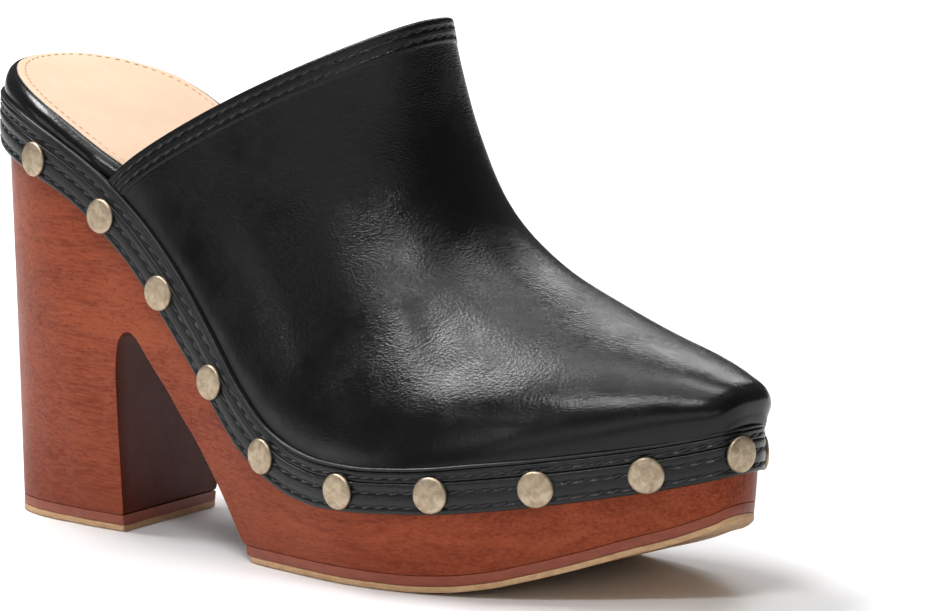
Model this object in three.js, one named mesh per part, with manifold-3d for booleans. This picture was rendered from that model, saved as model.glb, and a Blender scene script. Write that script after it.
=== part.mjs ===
// Platform clog, right foot: carved wooden sole with a block heel, nailed leather upper.
// Millimetres. +X towards the toe, +Y towards the medial (inner) side, +Z up.
// The origin is the bottom centre of the whole shoe's box.
import * as THREE from 'three';
import { mergeVertices } from 'three/addons/utils/BufferGeometryUtils.js';
import Module from 'manifold-3d';

// ---------- driving dimensions ----------
const ORIGIN_X = 119.635;        // box centre, measured from the heel end of the drafting frame
const ORIGIN_Y = -1.665;
const GAP = 0.3;                 // clearance kept between touching pieces

const RAND_T = 2.2;              // thickness of the nailed leather rand
const RAND_TOP_H = 3.0;          // height of the piped upper strip of the rand
const WOOD_INSET = 2.6;          // wood wall, measured in from the rand's outer face
const WOOD_TOP_DROP = 2.0;       // wood top below the rand's top edge
const BOARD_T = 1.4;             // insole board
const SOCK_T = 1.0;              // insole sock
const SOCK_INSET = 4.2;          // sock edge in from the rand's outer face
const UPPER_T = 1.4;             // outer leather
const PUFF_T = 0.7;              // toe stiffener
const LINING_T = 0.9;            // lining leather
const LINING_AT = UPPER_T + 3 * GAP + PUFF_T;   // depth of the lining under the outer face
const TAN_T = 1.5;               // tan outsole and heel top piece
const MID_T = 2.5;               // brown layer above it
const STUD_D = 8.4;              // domed nail head
const STUD_H = 1.5;
const SHANK_D = 1.6;
const SHANK_L = 7.5;
const HEEL_NAIL_D = 1.8;
const HEEL_NAIL_L = 14;
const HEEL_SKEW = -0.146;        // the heel's breast leans towards the medial side

// plan outline of the rand's outer face: heel end, lateral side, toe, medial side
const OUTLINE = [[6,0],[6.9,-8],[10,-15.6],[16,-22.9],[25,-29.3],[37,-33.6],[60,-34.9],[90,-36],[118,-40],[145,-43.6],[165,-41.6],[185,-34.8],[205,-23.2],[218,-13.3],[226.0,-6.9],[229.8,-3.4],[231.4,1.0],[231.2,7.5],[229.2,12.6],[225.2,17.4],[218.5,23.0],[205,32.2],[185,38.4],[165,40.8],[145,37.4],[118,31.2],[90,27.4],[60,29],[37,30.5],[25,27.6],[16,21.9],[10,14.9],[6.9,7.7]];
// heights along the shoe: top edge and lower edge of the rand, top of the insole, ground line
const STATION = [-5,0,6,15,30,40,50,60,70,80,90,100,110,120,130,140,150,160,170,180,190,200,210,218,225,232,240];
const RAND_TOP_Z = [109.2,109.2,108.9,107.8,104.7,101.2,96.7,91.4,84.6,76.1,65.7,54.0,42.5,34.5,30.8,29.3,29.0,29.5,30.4,31.8,33.1,34.6,36.2,37.7,39.3,41.4,44];
const RAND_LOW_Z = [97.3,97.3,96.9,95.5,91.9,88.8,84.55,78.3,70.6,60.3,48.9,37.8,28.2,22.4,19.4,18.3,18.5,19.1,19.7,20.8,22.2,23.8,25.6,27.1,28.8,30.8,33.2];
const INSOLE_X = [0,6,15,30,40,50,60,75,90,100,110,120,130,150,180,210,240];
const INSOLE_Z = [116.9,116.5,114.7,110.1,106.0,101.0,95.6,84.4,69.6,58.0,46.8,39.2,35.4,33.4,36.0,40.0,47];
const GROUND_X = [0,100,113,119,126,160,173,183,193,203,213,220,228,236];
const GROUND_Z = [1.6,1.6,0.7,0.1,0,0,0.7,2.2,4.8,7.9,11.4,13.7,17.2,21.5];
// how far the wood wall tapers in at the ground, along the shoe
const TAPER_X = [6,7,10,16,25,37,57,75,90,105,118,150,232];
const TAPER_LAT = [2.9,3.1,4.3,7.4,11.0,13.4,13.2,10.8,8.4,6.4,5.4,5.0,5.2];
const TAPER_MED = [2.9,3.1,4.3,7.4,10.2,12.2,11.8,9.6,7.8,6.4,5.4,5.0,5.2];
// side profile of the arch cut: heel breast going up, arch top, shank going down
const BREAST = [[55.2,-8],[56.3,0],[57.4,16],[58.4,32],[59.2,42],[60.6,48]];
const ARCH = [[62.6,51.0],[65.4,52.2],[68.2,51.5]];
const SHANK = [[71.0,49.0],[75.2,44.0],[80.0,38.8],[84.5,33.2],[89.2,28.2],[93.4,22.8],[97.6,17.2],[101.2,11.8],[104.4,6.4],[108.6,0.6],[112,-8]];
// upper: bottom edge stations (lateral, medial), ridge point, fullness, lean
const UPPER_ROWS = [
  [228.0,227.0,227.6,5.6,41.0,2.6,1], [227.0,226.0,229.4,5.6,44.3,2.6,1], [224.8,223.6,229.6,5.6,47.2,2.6,1],
  [221.2,220.4,227.2,6.0,49.4,2.6,1], [214.5,214,220.6,6.6,52.4,2.5,1], [203,203,209.4,7.5,55.6,2.4,1],
  [188,188,194.6,8.5,59.4,2.3,1], [170,170,176.2,10.5,65.4,2.25,1], [152,152,158.6,12.2,73.2,2.2,1],
  [133,132,147.0,13.0,83.0,2.2,1.05], [112,110,140.2,12.4,95.6,2.25,1.15], [90,87,136.4,10.6,111,2.33,1.25],
  [62.8,60,134.6,7.6,130.7,2.4,1.34]];
const STUD_X_LAT = [38,61.5,81,99,118.4,145.4,171,194,215.4];
const STUD_UP = [4.0,3.5,3.5,3.8,4.6,4.7,4.7,4.2,4.1,4.8];   // nail centres above the rand's lower edge, square to it

// ---------- curves ----------
function pchip(x, y) {
  const n = x.length, h = [], d = [], m = new Array(n).fill(0);
  for (let i = 0; i < n - 1; i++) { h[i] = x[i + 1] - x[i]; d[i] = (y[i + 1] - y[i]) / h[i]; }
  for (let i = 1; i < n - 1; i++) {
    if (d[i - 1] * d[i] > 0) {
      const w1 = 2 * h[i] + h[i - 1], w2 = h[i] + 2 * h[i - 1];
      m[i] = (w1 + w2) / (w1 / d[i - 1] + w2 / d[i]);
    }
  }
  const edge = (h0, h1, d0, d1) => {
    let e = ((2 * h0 + h1) * d0 - h0 * d1) / (h0 + h1);
    if (e * d0 <= 0) e = 0; else if (d0 * d1 <= 0 && Math.abs(e) > 3 * Math.abs(d0)) e = 3 * d0;
    return e;
  };
  m[0] = edge(h[0], h[1], d[0], d[1]);
  m[n - 1] = edge(h[n - 2], h[n - 3], d[n - 2], d[n - 3]);
  return (v) => {
    v = Math.min(Math.max(v, x[0]), x[n - 1]);
    let i = 0; while (i < n - 2 && v > x[i + 1]) i++;
    const t = (v - x[i]) / h[i], t2 = t * t, t3 = t2 * t;
    return (2 * t3 - 3 * t2 + 1) * y[i] + (t3 - 2 * t2 + t) * h[i] * m[i] + (-2 * t3 + 3 * t2) * y[i + 1] + (t3 - t2) * h[i] * m[i + 1];
  };
}
const randTop = pchip(STATION, RAND_TOP_Z);
const randLow = pchip(STATION, RAND_LOW_Z);
const insoleZ = pchip(INSOLE_X, INSOLE_Z);
const groundZ = pchip(GROUND_X, GROUND_Z);
const taperLat = pchip(TAPER_X, TAPER_LAT);
const taperMed = pchip(TAPER_X, TAPER_MED);

const outline = new THREE.CatmullRomCurve3(OUTLINE.map(([x, y]) => new THREE.Vector3(x, y, 0)), true, 'centripetal');
const dense = outline.getPoints(OUTLINE.length * 40).slice(0, -1).map((p) => [p.x, p.y]);
const ND = dense.length;
const denseN = dense.map((p, i) => {
  const a = dense[(i + ND - 1) % ND], b = dense[(i + 1) % ND];
  const tx = b[0] - a[0], ty = b[1] - a[1], l = Math.hypot(tx, ty);
  return [ty / l, -tx / l];
});
let iToe = 0, iHeel = 0;
dense.forEach((p, i) => { if (p[0] > dense[iToe][0]) iToe = i; if (p[0] < dense[iHeel][0]) iHeel = i; });
// index of the outline point at station x, on the lateral or the medial side
function find(x, lateral) {
  const n = lateral ? (iToe - iHeel + ND) % ND : (iHeel - iToe + ND) % ND;
  let lo = 0, hi = n;
  const at = (k) => dense[((lateral ? iHeel + k : iHeel - k) + 2 * ND) % ND][0];
  while (hi - lo > 1) { const mid = (lo + hi) >> 1; if (at(mid) < x) lo = mid; else hi = mid; }
  return ((lateral ? iHeel + lo : iHeel - lo) + 2 * ND) % ND;
}
const inset = (i, d) => [dense[i][0] - denseN[i][0] * d, dense[i][1] - denseN[i][1] * d];

// paired stations from the heel end to the toe end: the shoe's ribs
const M = 32;
const RIBS = [];
for (let j = 0; j <= M; j++) {
  const u = j / M, e = 0.5 - 0.5 * Math.cos(Math.PI * u);
  RIBS.push(0.45 * u + 0.55 * e);
}
const X0 = dense[iHeel][0], X1 = dense[iToe][0];
const latIdx = RIBS.map((u, j) => (j === 0 ? iHeel : j === M ? iToe : find(X0 + (X1 - X0) * u, true)));
const medIdx = RIBS.map((u, j) => (j === 0 ? iHeel : j === M ? iToe : find(X0 + (X1 - X0) * u, false)));
// closed loop of indices: heel, lateral, toe, medial
const LOOP = [...latIdx, ...medIdx.slice(1, M).reverse()];
const NL = LOOP.length;

// ---------- solids ----------
const group = new THREE.Group();
const wasm = await Module();
wasm.setup();

function geometry(verts, tris) {
  const g = new THREE.BufferGeometry();
  g.setAttribute('position', new THREE.Float32BufferAttribute(verts.flat(), 3));
  g.setIndex(tris.flat());
  return g;
}
function solid(geo) {
  const g = geo.clone();
  g.deleteAttribute('normal'); g.deleteAttribute('uv');
  const m = mergeVertices(g, 1e-4);
  return new wasm.Manifold(new wasm.Mesh({ numProp: 3, vertProperties: new Float32Array(m.attributes.position.array), triVerts: new Uint32Array(m.index.array) }));
}
function back(man) {
  const m = man.getMesh();
  const g = new THREE.BufferGeometry();
  g.setAttribute('position', new THREE.BufferAttribute(new Float32Array(m.vertProperties), 3));
  g.setIndex(Array.from(m.triVerts));
  return g;
}
function add(name, geo, color, roughness, metalness = 0) {
  const mesh = new THREE.Mesh(geo, new THREE.MeshStandardMaterial({ color, roughness, metalness }));
  mesh.name = name;
  mesh.position.set(-ORIGIN_X, -ORIGIN_Y, 0);
  group.add(mesh);
  return mesh;
}
// a slab from ribs j0 to j1: the plan outline set in by d(i, x), between the heights lo(x) and hi(x)
function slab(rows, j0 = 0, j1 = M) {
  // rows: array of rings from bottom to top, each (j, side) -> [x, y, z]
  const v = [], t = [], cols = [];
  for (let k = 0; k < rows.length; k++) {
    const ring = [];
    for (let j = j0; j <= j1; j++) { ring.push(v.length); v.push(rows[k](j, 0)); }
    for (let j = j1; j >= j0; j--) {
      if ((j === M && j1 === M) || (j === 0 && j0 === 0)) continue;
      ring.push(v.length); v.push(rows[k](j, 1));
    }
    cols.push(ring);
  }
  const n = cols[0].length;
  for (let k = 0; k + 1 < cols.length; k++) for (let i = 0; i < n; i++) {
    const a = cols[k][i], b = cols[k][(i + 1) % n], c = cols[k + 1][(i + 1) % n], d = cols[k + 1][i];
    t.push([a, b, c], [a, c, d]);
  }
  // caps: strips across the shoe
  const cap = (ring, up) => {
    const L = [], R = [];
    let p = 0;
    for (let j = j0; j <= j1; j++) L.push(ring[p++]);
    for (let j = j1; j >= j0; j--) {
      if ((j === M && j1 === M) || (j === 0 && j0 === 0)) R.unshift(L[j - j0]); else R.unshift(ring[p++]);
    }
    for (let q = 0; q + 1 < L.length; q++) {
      const f = [[L[q], R[q + 1], R[q]], [L[q], L[q + 1], R[q + 1]]];
      for (const tri of f) {
        if (new Set(tri).size < 3) continue;
        t.push(up ? tri : [tri[0], tri[2], tri[1]]);
      }
    }
  };
  cap(cols[cols.length - 1], true);
  cap(cols[0], false);
  return geometry(v, t);
}
const idx = (j, side) => (side ? medIdx[j] : latIdx[j]);
// simple slab: inset and heights as functions of station
function plate(insetFn, loFn, hiFn, j0 = 0, j1 = M) {
  const ring = (zf) => (j, side) => {
    const i = idx(j, side), d = insetFn(dense[i][0], side), [x, y] = inset(i, d);
    return [x, y, zf(x)];
  };
  return slab([ring(loFn), ring(hiFn)], j0, j1);
}
// a band running right round the shoe
function band(outer, inner, loFn, hiFn) {
  const v = [], t = [];
  for (let k = 0; k < NL; k++) {
    const [ox, oy] = inset(LOOP[k], outer), [ix, iy] = inset(LOOP[k], inner);
    v.push([ox, oy, loFn(ox)], [ox, oy, hiFn(ox)], [ix, iy, hiFn(ix)], [ix, iy, loFn(ix)]);
  }
  for (let k = 0; k < NL; k++) {
    const a = 4 * k, b = 4 * ((k + 1) % NL);
    for (let e = 0; e < 4; e++) {
      const f = (e + 1) % 4;
      t.push([a + e, b + e, b + f], [a + e, b + f, a + f]);
    }
  }
  return geometry(v, t);
}
// prism across the shoe from a side profile; the breast leans with y
function sideCut(points, y0, y1) {
  const shape = points.map(([x, z]) => new THREE.Vector2(x, z));
  if (THREE.ShapeUtils.isClockWise(shape)) { shape.reverse(); points = points.slice().reverse(); }
  const v = [], t = [], n = shape.length;
  for (const y of [y0, y1]) for (const p of points) v.push([p[0] + (p[2] ? HEEL_SKEW * p[2] * (y + 21.6) : 0), y, p[1]]);
  for (const f of THREE.ShapeUtils.triangulateShape(shape, [])) { t.push([f[0], f[1], f[2]]); t.push([n + f[0], n + f[2], n + f[1]]); }
  for (let i = 0; i < n; i++) { const j = (i + 1) % n; t.push([i, n + i, n + j], [i, n + j, j]); }
  return solid(geometry(v, t));
}

// wooden sole: a tapered block under the whole foot
function woodRing(q) {   // q = 0 at the rand's lower edge, 1 at the ground
  return (j, side) => {
    const i = idx(j, side), x = dense[i][0];
    const low = randLow(x), dB = (side ? taperMed : taperLat)(x);
    const zg = -3, z = low + (zg - low) * q;
    const [px, py] = inset(i, WOOD_INSET + (dB - WOOD_INSET) * Math.pow(Math.max(q, 0), 1.25));
    return [px, py, z];
  };
}
const woodTop = (j, side) => {
  const [x, y] = inset(idx(j, side), WOOD_INSET);
  return [x, y, randTop(x) - WOOD_TOP_DROP];
};
let blockMan = solid(slab([woodRing(1), woodRing(0.75), woodRing(0.5), woodRing(0.25), woodRing(0), woodTop]));
// arch between heel and forepart
const archProfile = [...BREAST.map(([x, z]) => [x, z, 1]), ...ARCH.map(([x, z], k) => [x, z, 0.75 - 0.25 * k]), ...SHANK.map(([x, z]) => [x, z, 0])];
blockMan = blockMan.subtract(sideCut(archProfile, -70, 70));
// everything under a line h above the ground is trimmed away; the heel stands flat
function above(h, extra = 0) {
  const pts = [[-20, h + extra], [99, h + extra]];
  for (let x = 100; x <= 240; x += 7) pts.push([x, groundZ(x < 112 ? 126 : x) + h]);
  pts.push([240, 160], [-20, 160]);
  return sideCut(pts.map(([x, z]) => [x, z, 0]), -70, 70);
}
function heelAndForepart(lo, hi) {
  // a layer of the block between two heights above the ground
  return blockMan.intersect(above(lo)).subtract(above(hi));
}
const soleLow = TAN_T + GAP + MID_T + GAP;
let wood = blockMan.intersect(above(soleLow));
const xSplit = 84;
const boxMan = (x0, x1, y0, y1, z0, z1) => {
  const g = new THREE.BoxGeometry(x1 - x0, y1 - y0, z1 - z0);
  g.translate((x0 + x1) / 2, (y0 + y1) / 2, (z0 + z1) / 2);
  return solid(g);
};
const rearHalf = boxMan(-30, xSplit, -80, 80, -10, 30);
const frontHalf = boxMan(xSplit, 260, -80, 80, -10, 60);
const tanLayer = blockMan.intersect(above(0)).subtract(above(TAN_T));
const midLayer = blockMan.intersect(above(TAN_T + GAP)).subtract(above(TAN_T + GAP + MID_T));
let topPiece = tanLayer.intersect(rearHalf), heelLift = midLayer.intersect(rearHalf);
const outsole = tanLayer.intersect(frontHalf), midsole = midLayer.intersect(frontHalf);

// rand strips
let randLower = solid(band(0, RAND_T, (x) => randLow(x), (x) => randTop(x) - RAND_TOP_H));

// studs: outward frame at an outline index, at a height above the rand's lower edge
function rod(r0, r1, a, b, seg) {   // cylinder from a to b
  const A = new THREE.Vector3(...a), B = new THREE.Vector3(...b), d = B.clone().sub(A);
  const g = new THREE.CylinderGeometry(r1, r0, d.length(), seg);
  g.applyQuaternion(new THREE.Quaternion().setFromUnitVectors(new THREE.Vector3(0, 1, 0), d.clone().normalize()));
  const c = A.add(B).multiplyScalar(0.5);
  g.translate(c.x, c.y, c.z);
  return g;
}
function studAt(i, k) {
  const p = dense[i], n = denseN[i], up = STUD_UP[k > 9 ? 18 - k : k], z = randLow(p[0]) + up * Math.hypot(1, (randLow(p[0] + 1) - randLow(p[0] - 1)) / 2 * Math.abs(n[1]));
  return { p: [p[0], p[1], z], n };
}
const arc = [0];
for (let i = 1; i <= ND; i++) arc.push(arc[i - 1] + Math.hypot(dense[i % ND][0] - dense[i - 1][0], dense[i % ND][1] - dense[i - 1][1]));
const toeStud = (() => { let b = 0, best = 1e9; for (let i = 0; i < ND; i++) { const e = Math.abs(dense[i][1] - 0) + (dense[i][0] < 200 ? 99 : 0); if (e < best) { best = e; b = i; } } return b; })();
const latStuds = STUD_X_LAT.map((x) => find(x, true));
const medStuds = latStuds.map((i) => {
  // the same distance along the edge from the toe stud, on the other side
  const s = arc[toeStud] + (arc[toeStud] - arc[i]) * 0.985;
  let k = toeStud; while (arc[k] < s && k < ND - 1) k++;
  return k;
});
const studs = [...latStuds, toeStud, ...medStuds.slice().reverse()].map(studAt);
const studNames = studs.map((_, k) => `stud_${String(k + 1).padStart(2, '0')}`);
studs.forEach(({ p, n }, k) => {
  // domed head, closed profile from axis to axis, then the shank
  const R = STUD_D / 2, g0 = GAP;
  const pts = [[0, -SHANK_L], [SHANK_D / 2, -SHANK_L + 1.6], [SHANK_D / 2, g0], [R, g0], [R, g0 + 0.4], [R * 0.62, g0 + 1.2], [0, g0 + STUD_H]];
  const lg = new THREE.LatheGeometry(pts.map(([x, y]) => new THREE.Vector2(x, y)), 10);
  lg.applyQuaternion(new THREE.Quaternion().setFromUnitVectors(new THREE.Vector3(0, 1, 0), new THREE.Vector3(n[0], n[1], 0)));
  lg.translate(p[0], p[1], p[2]);
  let man = solid(lg);
  add(studNames[k], back(man), 0xb9a98c, 0.42, 0.85);
  // clearance hole through the rand into the wood
  const at = (t) => [p[0] + n[0] * t, p[1] + n[1] * t, p[2]];
  const hole = solid(rod(SHANK_D / 2 + 0.3, SHANK_D / 2 + 0.3, at(-SHANK_L - 0.6), at(0.2), 6));
  randLower = randLower.subtract(hole);
  wood = wood.subtract(hole);
});

// nails that hold the heel's top piece and lift
const heelNails = [[20, -6], [20, 5], [43, -10], [43, 8]];
heelNails.forEach(([x, y], k) => {
  const z0 = 0.5;
  const g = new THREE.LatheGeometry([[0, 0], [HEEL_NAIL_D * 0.95, 0], [HEEL_NAIL_D * 0.95, 0.7], [HEEL_NAIL_D / 2, 0.9], [HEEL_NAIL_D / 2, HEEL_NAIL_L - 2], [0, HEEL_NAIL_L]].map(([r, y2]) => new THREE.Vector2(r, y2)), 8);
  g.rotateX(Math.PI / 2);
  g.translate(x, y, z0);
  add(`heel_nail_${k + 1}`, back(solid(g)), 0x9a9a98, 0.45, 0.9);
  const head = solid(rod(HEEL_NAIL_D * 0.95 + GAP, HEEL_NAIL_D * 0.95 + GAP, [x, y, -1], [x, y, z0 + 1.0], 8));
  const hole = solid(rod(HEEL_NAIL_D / 2 + GAP, HEEL_NAIL_D / 2 + GAP, [x, y, 0], [x, y, z0 + HEEL_NAIL_L + 0.5], 8));
  topPiece = topPiece.subtract(head).subtract(hole);
  heelLift = heelLift.subtract(hole);
  wood = wood.subtract(hole);
});

add('wooden_sole', back(wood), 0x94452a, 0.45);
add('heel_lift', back(heelLift), 0x4a2417, 0.6);
add('heel_top_piece', back(topPiece), 0xb98f5f, 0.75);
add('forepart_midsole', back(midsole), 0x5a2a18, 0.6);
add('forepart_outsole', back(outsole), 0xc9a472, 0.7);
add('rand_lower', back(randLower), 0x17171a, 0.5);
add('rand_piping', band(0.15, RAND_T, (x) => randTop(x) - RAND_TOP_H + GAP, (x) => randTop(x) + 0.2), 0x141416, 0.45);

// upper: a patch from the toe edge (s = 0) to the topline (s = 1), lateral to medial
const rowF = [0, 1, 2, 3, 4, 5, 6].map((c) => pchip(UPPER_ROWS.map((_, k) => k), UPPER_ROWS.map((r) => r[c])));
const UPPER_INSET = WOOD_INSET + 0.05;
const UPPER_BASE = WOOD_TOP_DROP - GAP;
function upperPoint(s, phi) {
  const k = s * (UPPER_ROWS.length - 1);
  const [xl, xm, xr, yr, zr, n, p] = rowF.map((f) => f(k));
  const L = inset(find(xl, true), UPPER_INSET), Q = inset(find(xm, false), UPPER_INSET);
  const zL = randTop(L[0]) - UPPER_BASE, zQ = randTop(Q[0]) - UPPER_BASE;
  const th = Math.PI * phi, co = Math.cos(th), si = Math.abs(Math.sin(th));
  const c = (1 - Math.sign(co) * Math.pow(Math.abs(co), 2 / n)) / 2, h = Math.pow(si, 2 / n);
  const mx = (L[0] + Q[0]) / 2, my = (L[1] + Q[1]) / 2, mz = (zL + zQ) / 2;
  return [L[0] + (Q[0] - L[0]) * c + (xr - mx) * Math.pow(h, p), L[1] + (Q[1] - L[1]) * c + (yr - my) * h, zL + (zQ - zL) * c + (zr - mz) * h];
}
const SROWS = [0, 0.6, 1.2, 1.9, 2.8, 3.8, 5, 6.3, 7.6, 8.9, 10, 11, 12].map((k) => k / 12);
const NF = 14;
function upperNormal(s, phi) {
  const e = 0.004, q = (a, b) => upperPoint(Math.min(Math.max(a, 0), 1), Math.min(Math.max(b, 0), 1));
  const s0 = q(s - e, phi), s1 = q(s + e, phi), f0 = q(s, phi - e), f1 = q(s, phi + e);
  const u = new THREE.Vector3(s1[0] - s0[0], s1[1] - s0[1], s1[2] - s0[2]), v = new THREE.Vector3(f1[0] - f0[0], f1[1] - f0[1], f1[2] - f0[2]);
  return v.cross(u).normalize();
}
const SKIRT = 3;   // the shell is drawn this much too deep, then trimmed level with the wood
function shell(t0, t1, rows, skirt = SKIRT) {
  // closed shell between the depths t0 and t1 under the outer surface
  const v = [], t = [], R = rows.length, C = NF + 1;
  const put = (depth) => rows.forEach((s) => {
    for (let c = 0; c < C; c++) {
      const phi = c / NF, ph = Math.min(Math.max(phi, 0.004), 0.996), ss = Math.max(s, 0.02);
      const p = upperPoint(s, phi), n = upperNormal(ss, ph);
      // the bottom edge stays level: depth is taken sideways there
      const edge = (c === 0 || c === NF || s === 0);
      if (edge) { n.z = 0; n.normalize(); }
      const down = c === 0 || c === NF || s === 0 ? skirt : 0;
      v.push([p[0] - n.x * depth, p[1] - n.y * depth, p[2] - n.z * depth - down]);
    }
  });
  put(t0); put(t1);
  const o = (r, c) => r * C + c, w = (r, c) => R * C + r * C + c;
  for (let r = 0; r + 1 < R; r++) for (let c = 0; c < NF; c++) {
    t.push([o(r, c), o(r, c + 1), o(r + 1, c + 1)], [o(r, c), o(r + 1, c + 1), o(r + 1, c)]);
    t.push([w(r, c), w(r + 1, c + 1), w(r, c + 1)], [w(r, c), w(r + 1, c), w(r + 1, c + 1)]);
  }
  const rim = (list) => { for (let k = 0; k + 1 < list.length; k++) { const [a, b] = list[k], [c, d] = list[k + 1]; t.push([o(a, b), w(a, b), w(c, d)], [o(a, b), w(c, d), o(c, d)]); } };
  const loop = [];
  for (let c = 0; c <= NF; c++) loop.push([0, c]);
  for (let r = 1; r < R; r++) loop.push([r, NF]);
  for (let c = NF - 1; c >= 0; c--) loop.push([R - 1, c]);
  for (let r = R - 2; r >= 0; r--) loop.push([r, 0]);
  rim(loop);
  return geometry(v, t);
}
const seat = [[-20, 200], ...RIBS.map((u) => { const x = X0 + WOOD_INSET + (X1 - X0 - 2 * WOOD_INSET) * u; return [x, randTop(x) - UPPER_BASE]; }), [260, randTop(240) - UPPER_BASE], [260, 200]];
seat.splice(1, 0, [-20, randTop(0) - UPPER_BASE]);
const aboveSeat = sideCut(seat.map(([x, z]) => [x, z, 0]), -90, 90);
const besideRand = solid(band(-9, RAND_T + GAP, (x) => randTop(x) - 6, (x) => randTop(x) + 0.5));
const trimmed = (geo) => {
  // of the cut's results only the shell itself is kept, not the slivers
  const parts = solid(geo).intersect(aboveSeat).subtract(besideRand).decompose();
  parts.sort((a, b) => b.volume() - a.volume());
  return back(parts[0]);
};
add('upper_vamp', trimmed(shell(0, UPPER_T, SROWS)), 0x131315, 0.4);
const liningGeo = trimmed(shell(LINING_AT, LINING_AT + LINING_T, SROWS));
add('upper_lining', liningGeo, 0x1c1b1b, 0.75);
const liningMan = solid(liningGeo);
const NUDGE = [[0.3, 0, 0], [-0.3, 0, 0], [0, 0.3, 0], [0, -0.3, 0], [0, 0, 0.3], [0, 0, 0]];
const clearOfLining = (man) => {
  for (const d of NUDGE) man = man.subtract(liningMan.translate(d));
  const parts = man.decompose();
  parts.sort((p, q) => q.volume() - p.volume());
  return back(parts[0]);
};
add('toe_puff', clearOfLining(solid(trimmed(shell(UPPER_T + GAP, UPPER_T + GAP + PUFF_T, SROWS.filter((s) => s * 12 <= 5.1))))), 0xcfc4ad, 0.9);

// footbed: insole board, wrapped cushion, sock
const foot = pchip([6, 54, 66, 240], [WOOD_INSET + 0.2, WOOD_INSET + 0.2, 6.5, 6.5]);
const shellSpace = solid(shell(-1.5, LINING_AT + LINING_T + GAP, SROWS, 12));
const inside = (geo) => clearOfLining(solid(geo).subtract(shellSpace));
const boardLo = (x) => randTop(x) - WOOD_TOP_DROP + GAP;
add('insole_board', inside(plate((x) => Math.max(foot(x), 3.2), boardLo, (x) => boardLo(x) + BOARD_T, 0, M)), 0x8a7458, 0.9);
const cushLo = (x) => boardLo(x) + BOARD_T + GAP;
const cushHi = (x) => insoleZ(x) - SOCK_T - GAP;
{
  const ring = (extra, zf) => (j, side) => {
    const i = idx(j, side), [x, y] = inset(i, foot(dense[i][0]) + extra);
    return [x, y, zf(x)];
  };
  add('footbed_cushion', inside(slab([
    ring(0.5, cushLo),
    ring(0, (x) => cushLo(x) + 0.25 * (cushHi(x) - cushLo(x))),
    ring(0.3, (x) => cushLo(x) + 0.7 * (cushHi(x) - cushLo(x))),
    ring(1.5, cushHi)])), 0x151517, 0.5);
}
add('insole_sock', inside(plate((x) => Math.max(SOCK_INSET, foot(x) + 0.6), (x) => insoleZ(x) - SOCK_T, insoleZ)), 0xe9cba9, 0.7);


export default group;
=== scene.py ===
import math
import bpy
import numpy as np
from mathutils import Matrix, Vector


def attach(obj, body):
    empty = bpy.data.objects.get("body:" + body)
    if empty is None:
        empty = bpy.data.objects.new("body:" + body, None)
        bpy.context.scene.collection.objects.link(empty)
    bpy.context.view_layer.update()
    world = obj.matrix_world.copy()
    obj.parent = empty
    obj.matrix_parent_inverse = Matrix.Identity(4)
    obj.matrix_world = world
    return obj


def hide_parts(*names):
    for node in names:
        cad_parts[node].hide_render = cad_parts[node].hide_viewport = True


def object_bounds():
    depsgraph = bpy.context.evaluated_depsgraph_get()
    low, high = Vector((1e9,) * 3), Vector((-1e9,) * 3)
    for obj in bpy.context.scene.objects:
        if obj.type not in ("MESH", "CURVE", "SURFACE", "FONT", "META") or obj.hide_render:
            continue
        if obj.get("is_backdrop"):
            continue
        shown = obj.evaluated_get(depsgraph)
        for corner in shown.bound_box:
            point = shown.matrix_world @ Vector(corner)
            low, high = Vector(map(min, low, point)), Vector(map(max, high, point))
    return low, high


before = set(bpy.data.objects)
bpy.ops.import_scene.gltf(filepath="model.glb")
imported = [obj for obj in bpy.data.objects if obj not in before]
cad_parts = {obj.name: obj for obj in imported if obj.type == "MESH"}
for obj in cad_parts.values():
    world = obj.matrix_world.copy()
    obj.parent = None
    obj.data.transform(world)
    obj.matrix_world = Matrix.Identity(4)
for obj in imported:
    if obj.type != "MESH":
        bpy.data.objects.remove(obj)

CAD_LO, CAD_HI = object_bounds()
CAD_LO, CAD_HI = list(CAD_LO), list(CAD_HI)
RNG = np.random.default_rng(7)

# ------------------------------------------------------------------ shoe tables (mm, drafting frame)
OX, OY = -119.635, 1.665
OUTLINE = np.array([[6,0],[6.9,-8],[10,-15.6],[16,-22.9],[25,-29.3],[37,-33.6],[60,-34.9],[90,-36],[118,-40],[145,-43.6],[165,-41.6],[185,-34.8],[205,-23.2],[218,-13.3],[226.0,-6.9],[229.8,-3.4],[231.4,1.0],[231.2,7.5],[229.2,12.6],[225.2,17.4],[218.5,23.0],[205,32.2],[185,38.4],[165,40.8],[145,37.4],[118,31.2],[90,27.4],[60,29],[37,30.5],[25,27.6],[16,21.9],[10,14.9],[6.9,7.7]], float)
STATION = [-5,0,6,15,30,40,50,60,70,80,90,100,110,120,130,140,150,160,170,180,190,200,210,218,225,232,240]
RAND_TOP_Z = [109.2,109.2,108.9,107.8,104.7,101.2,96.7,91.4,84.6,76.1,65.7,54.0,42.5,34.5,30.8,29.3,29.0,29.5,30.4,31.8,33.1,34.6,36.2,37.7,39.3,41.4,44]
RAND_LOW_Z = [97.3,97.3,96.9,95.5,91.9,88.8,84.55,78.3,70.6,60.3,48.9,37.8,28.2,22.4,19.4,18.3,18.5,19.1,19.7,20.8,22.2,23.8,25.6,27.1,28.8,30.8,33.2]
INSOLE_X = [0,6,15,30,40,50,60,75,90,100,110,120,130,150,180,210,240]
INSOLE_Z = [116.9,116.5,114.7,110.1,106.0,101.0,95.6,84.4,69.6,58.0,46.8,39.2,35.4,33.4,36.0,40.0,47]
GROUND_X = [0,100,113,119,126,160,173,183,193,203,213,220,228,236]
GROUND_Z = [1.6,1.6,0.7,0.1,0,0,0.7,2.2,4.8,7.9,11.4,13.7,17.2,21.5]
TAPER_X = [6,7,10,16,25,37,57,75,90,105,118,150,232]
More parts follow.
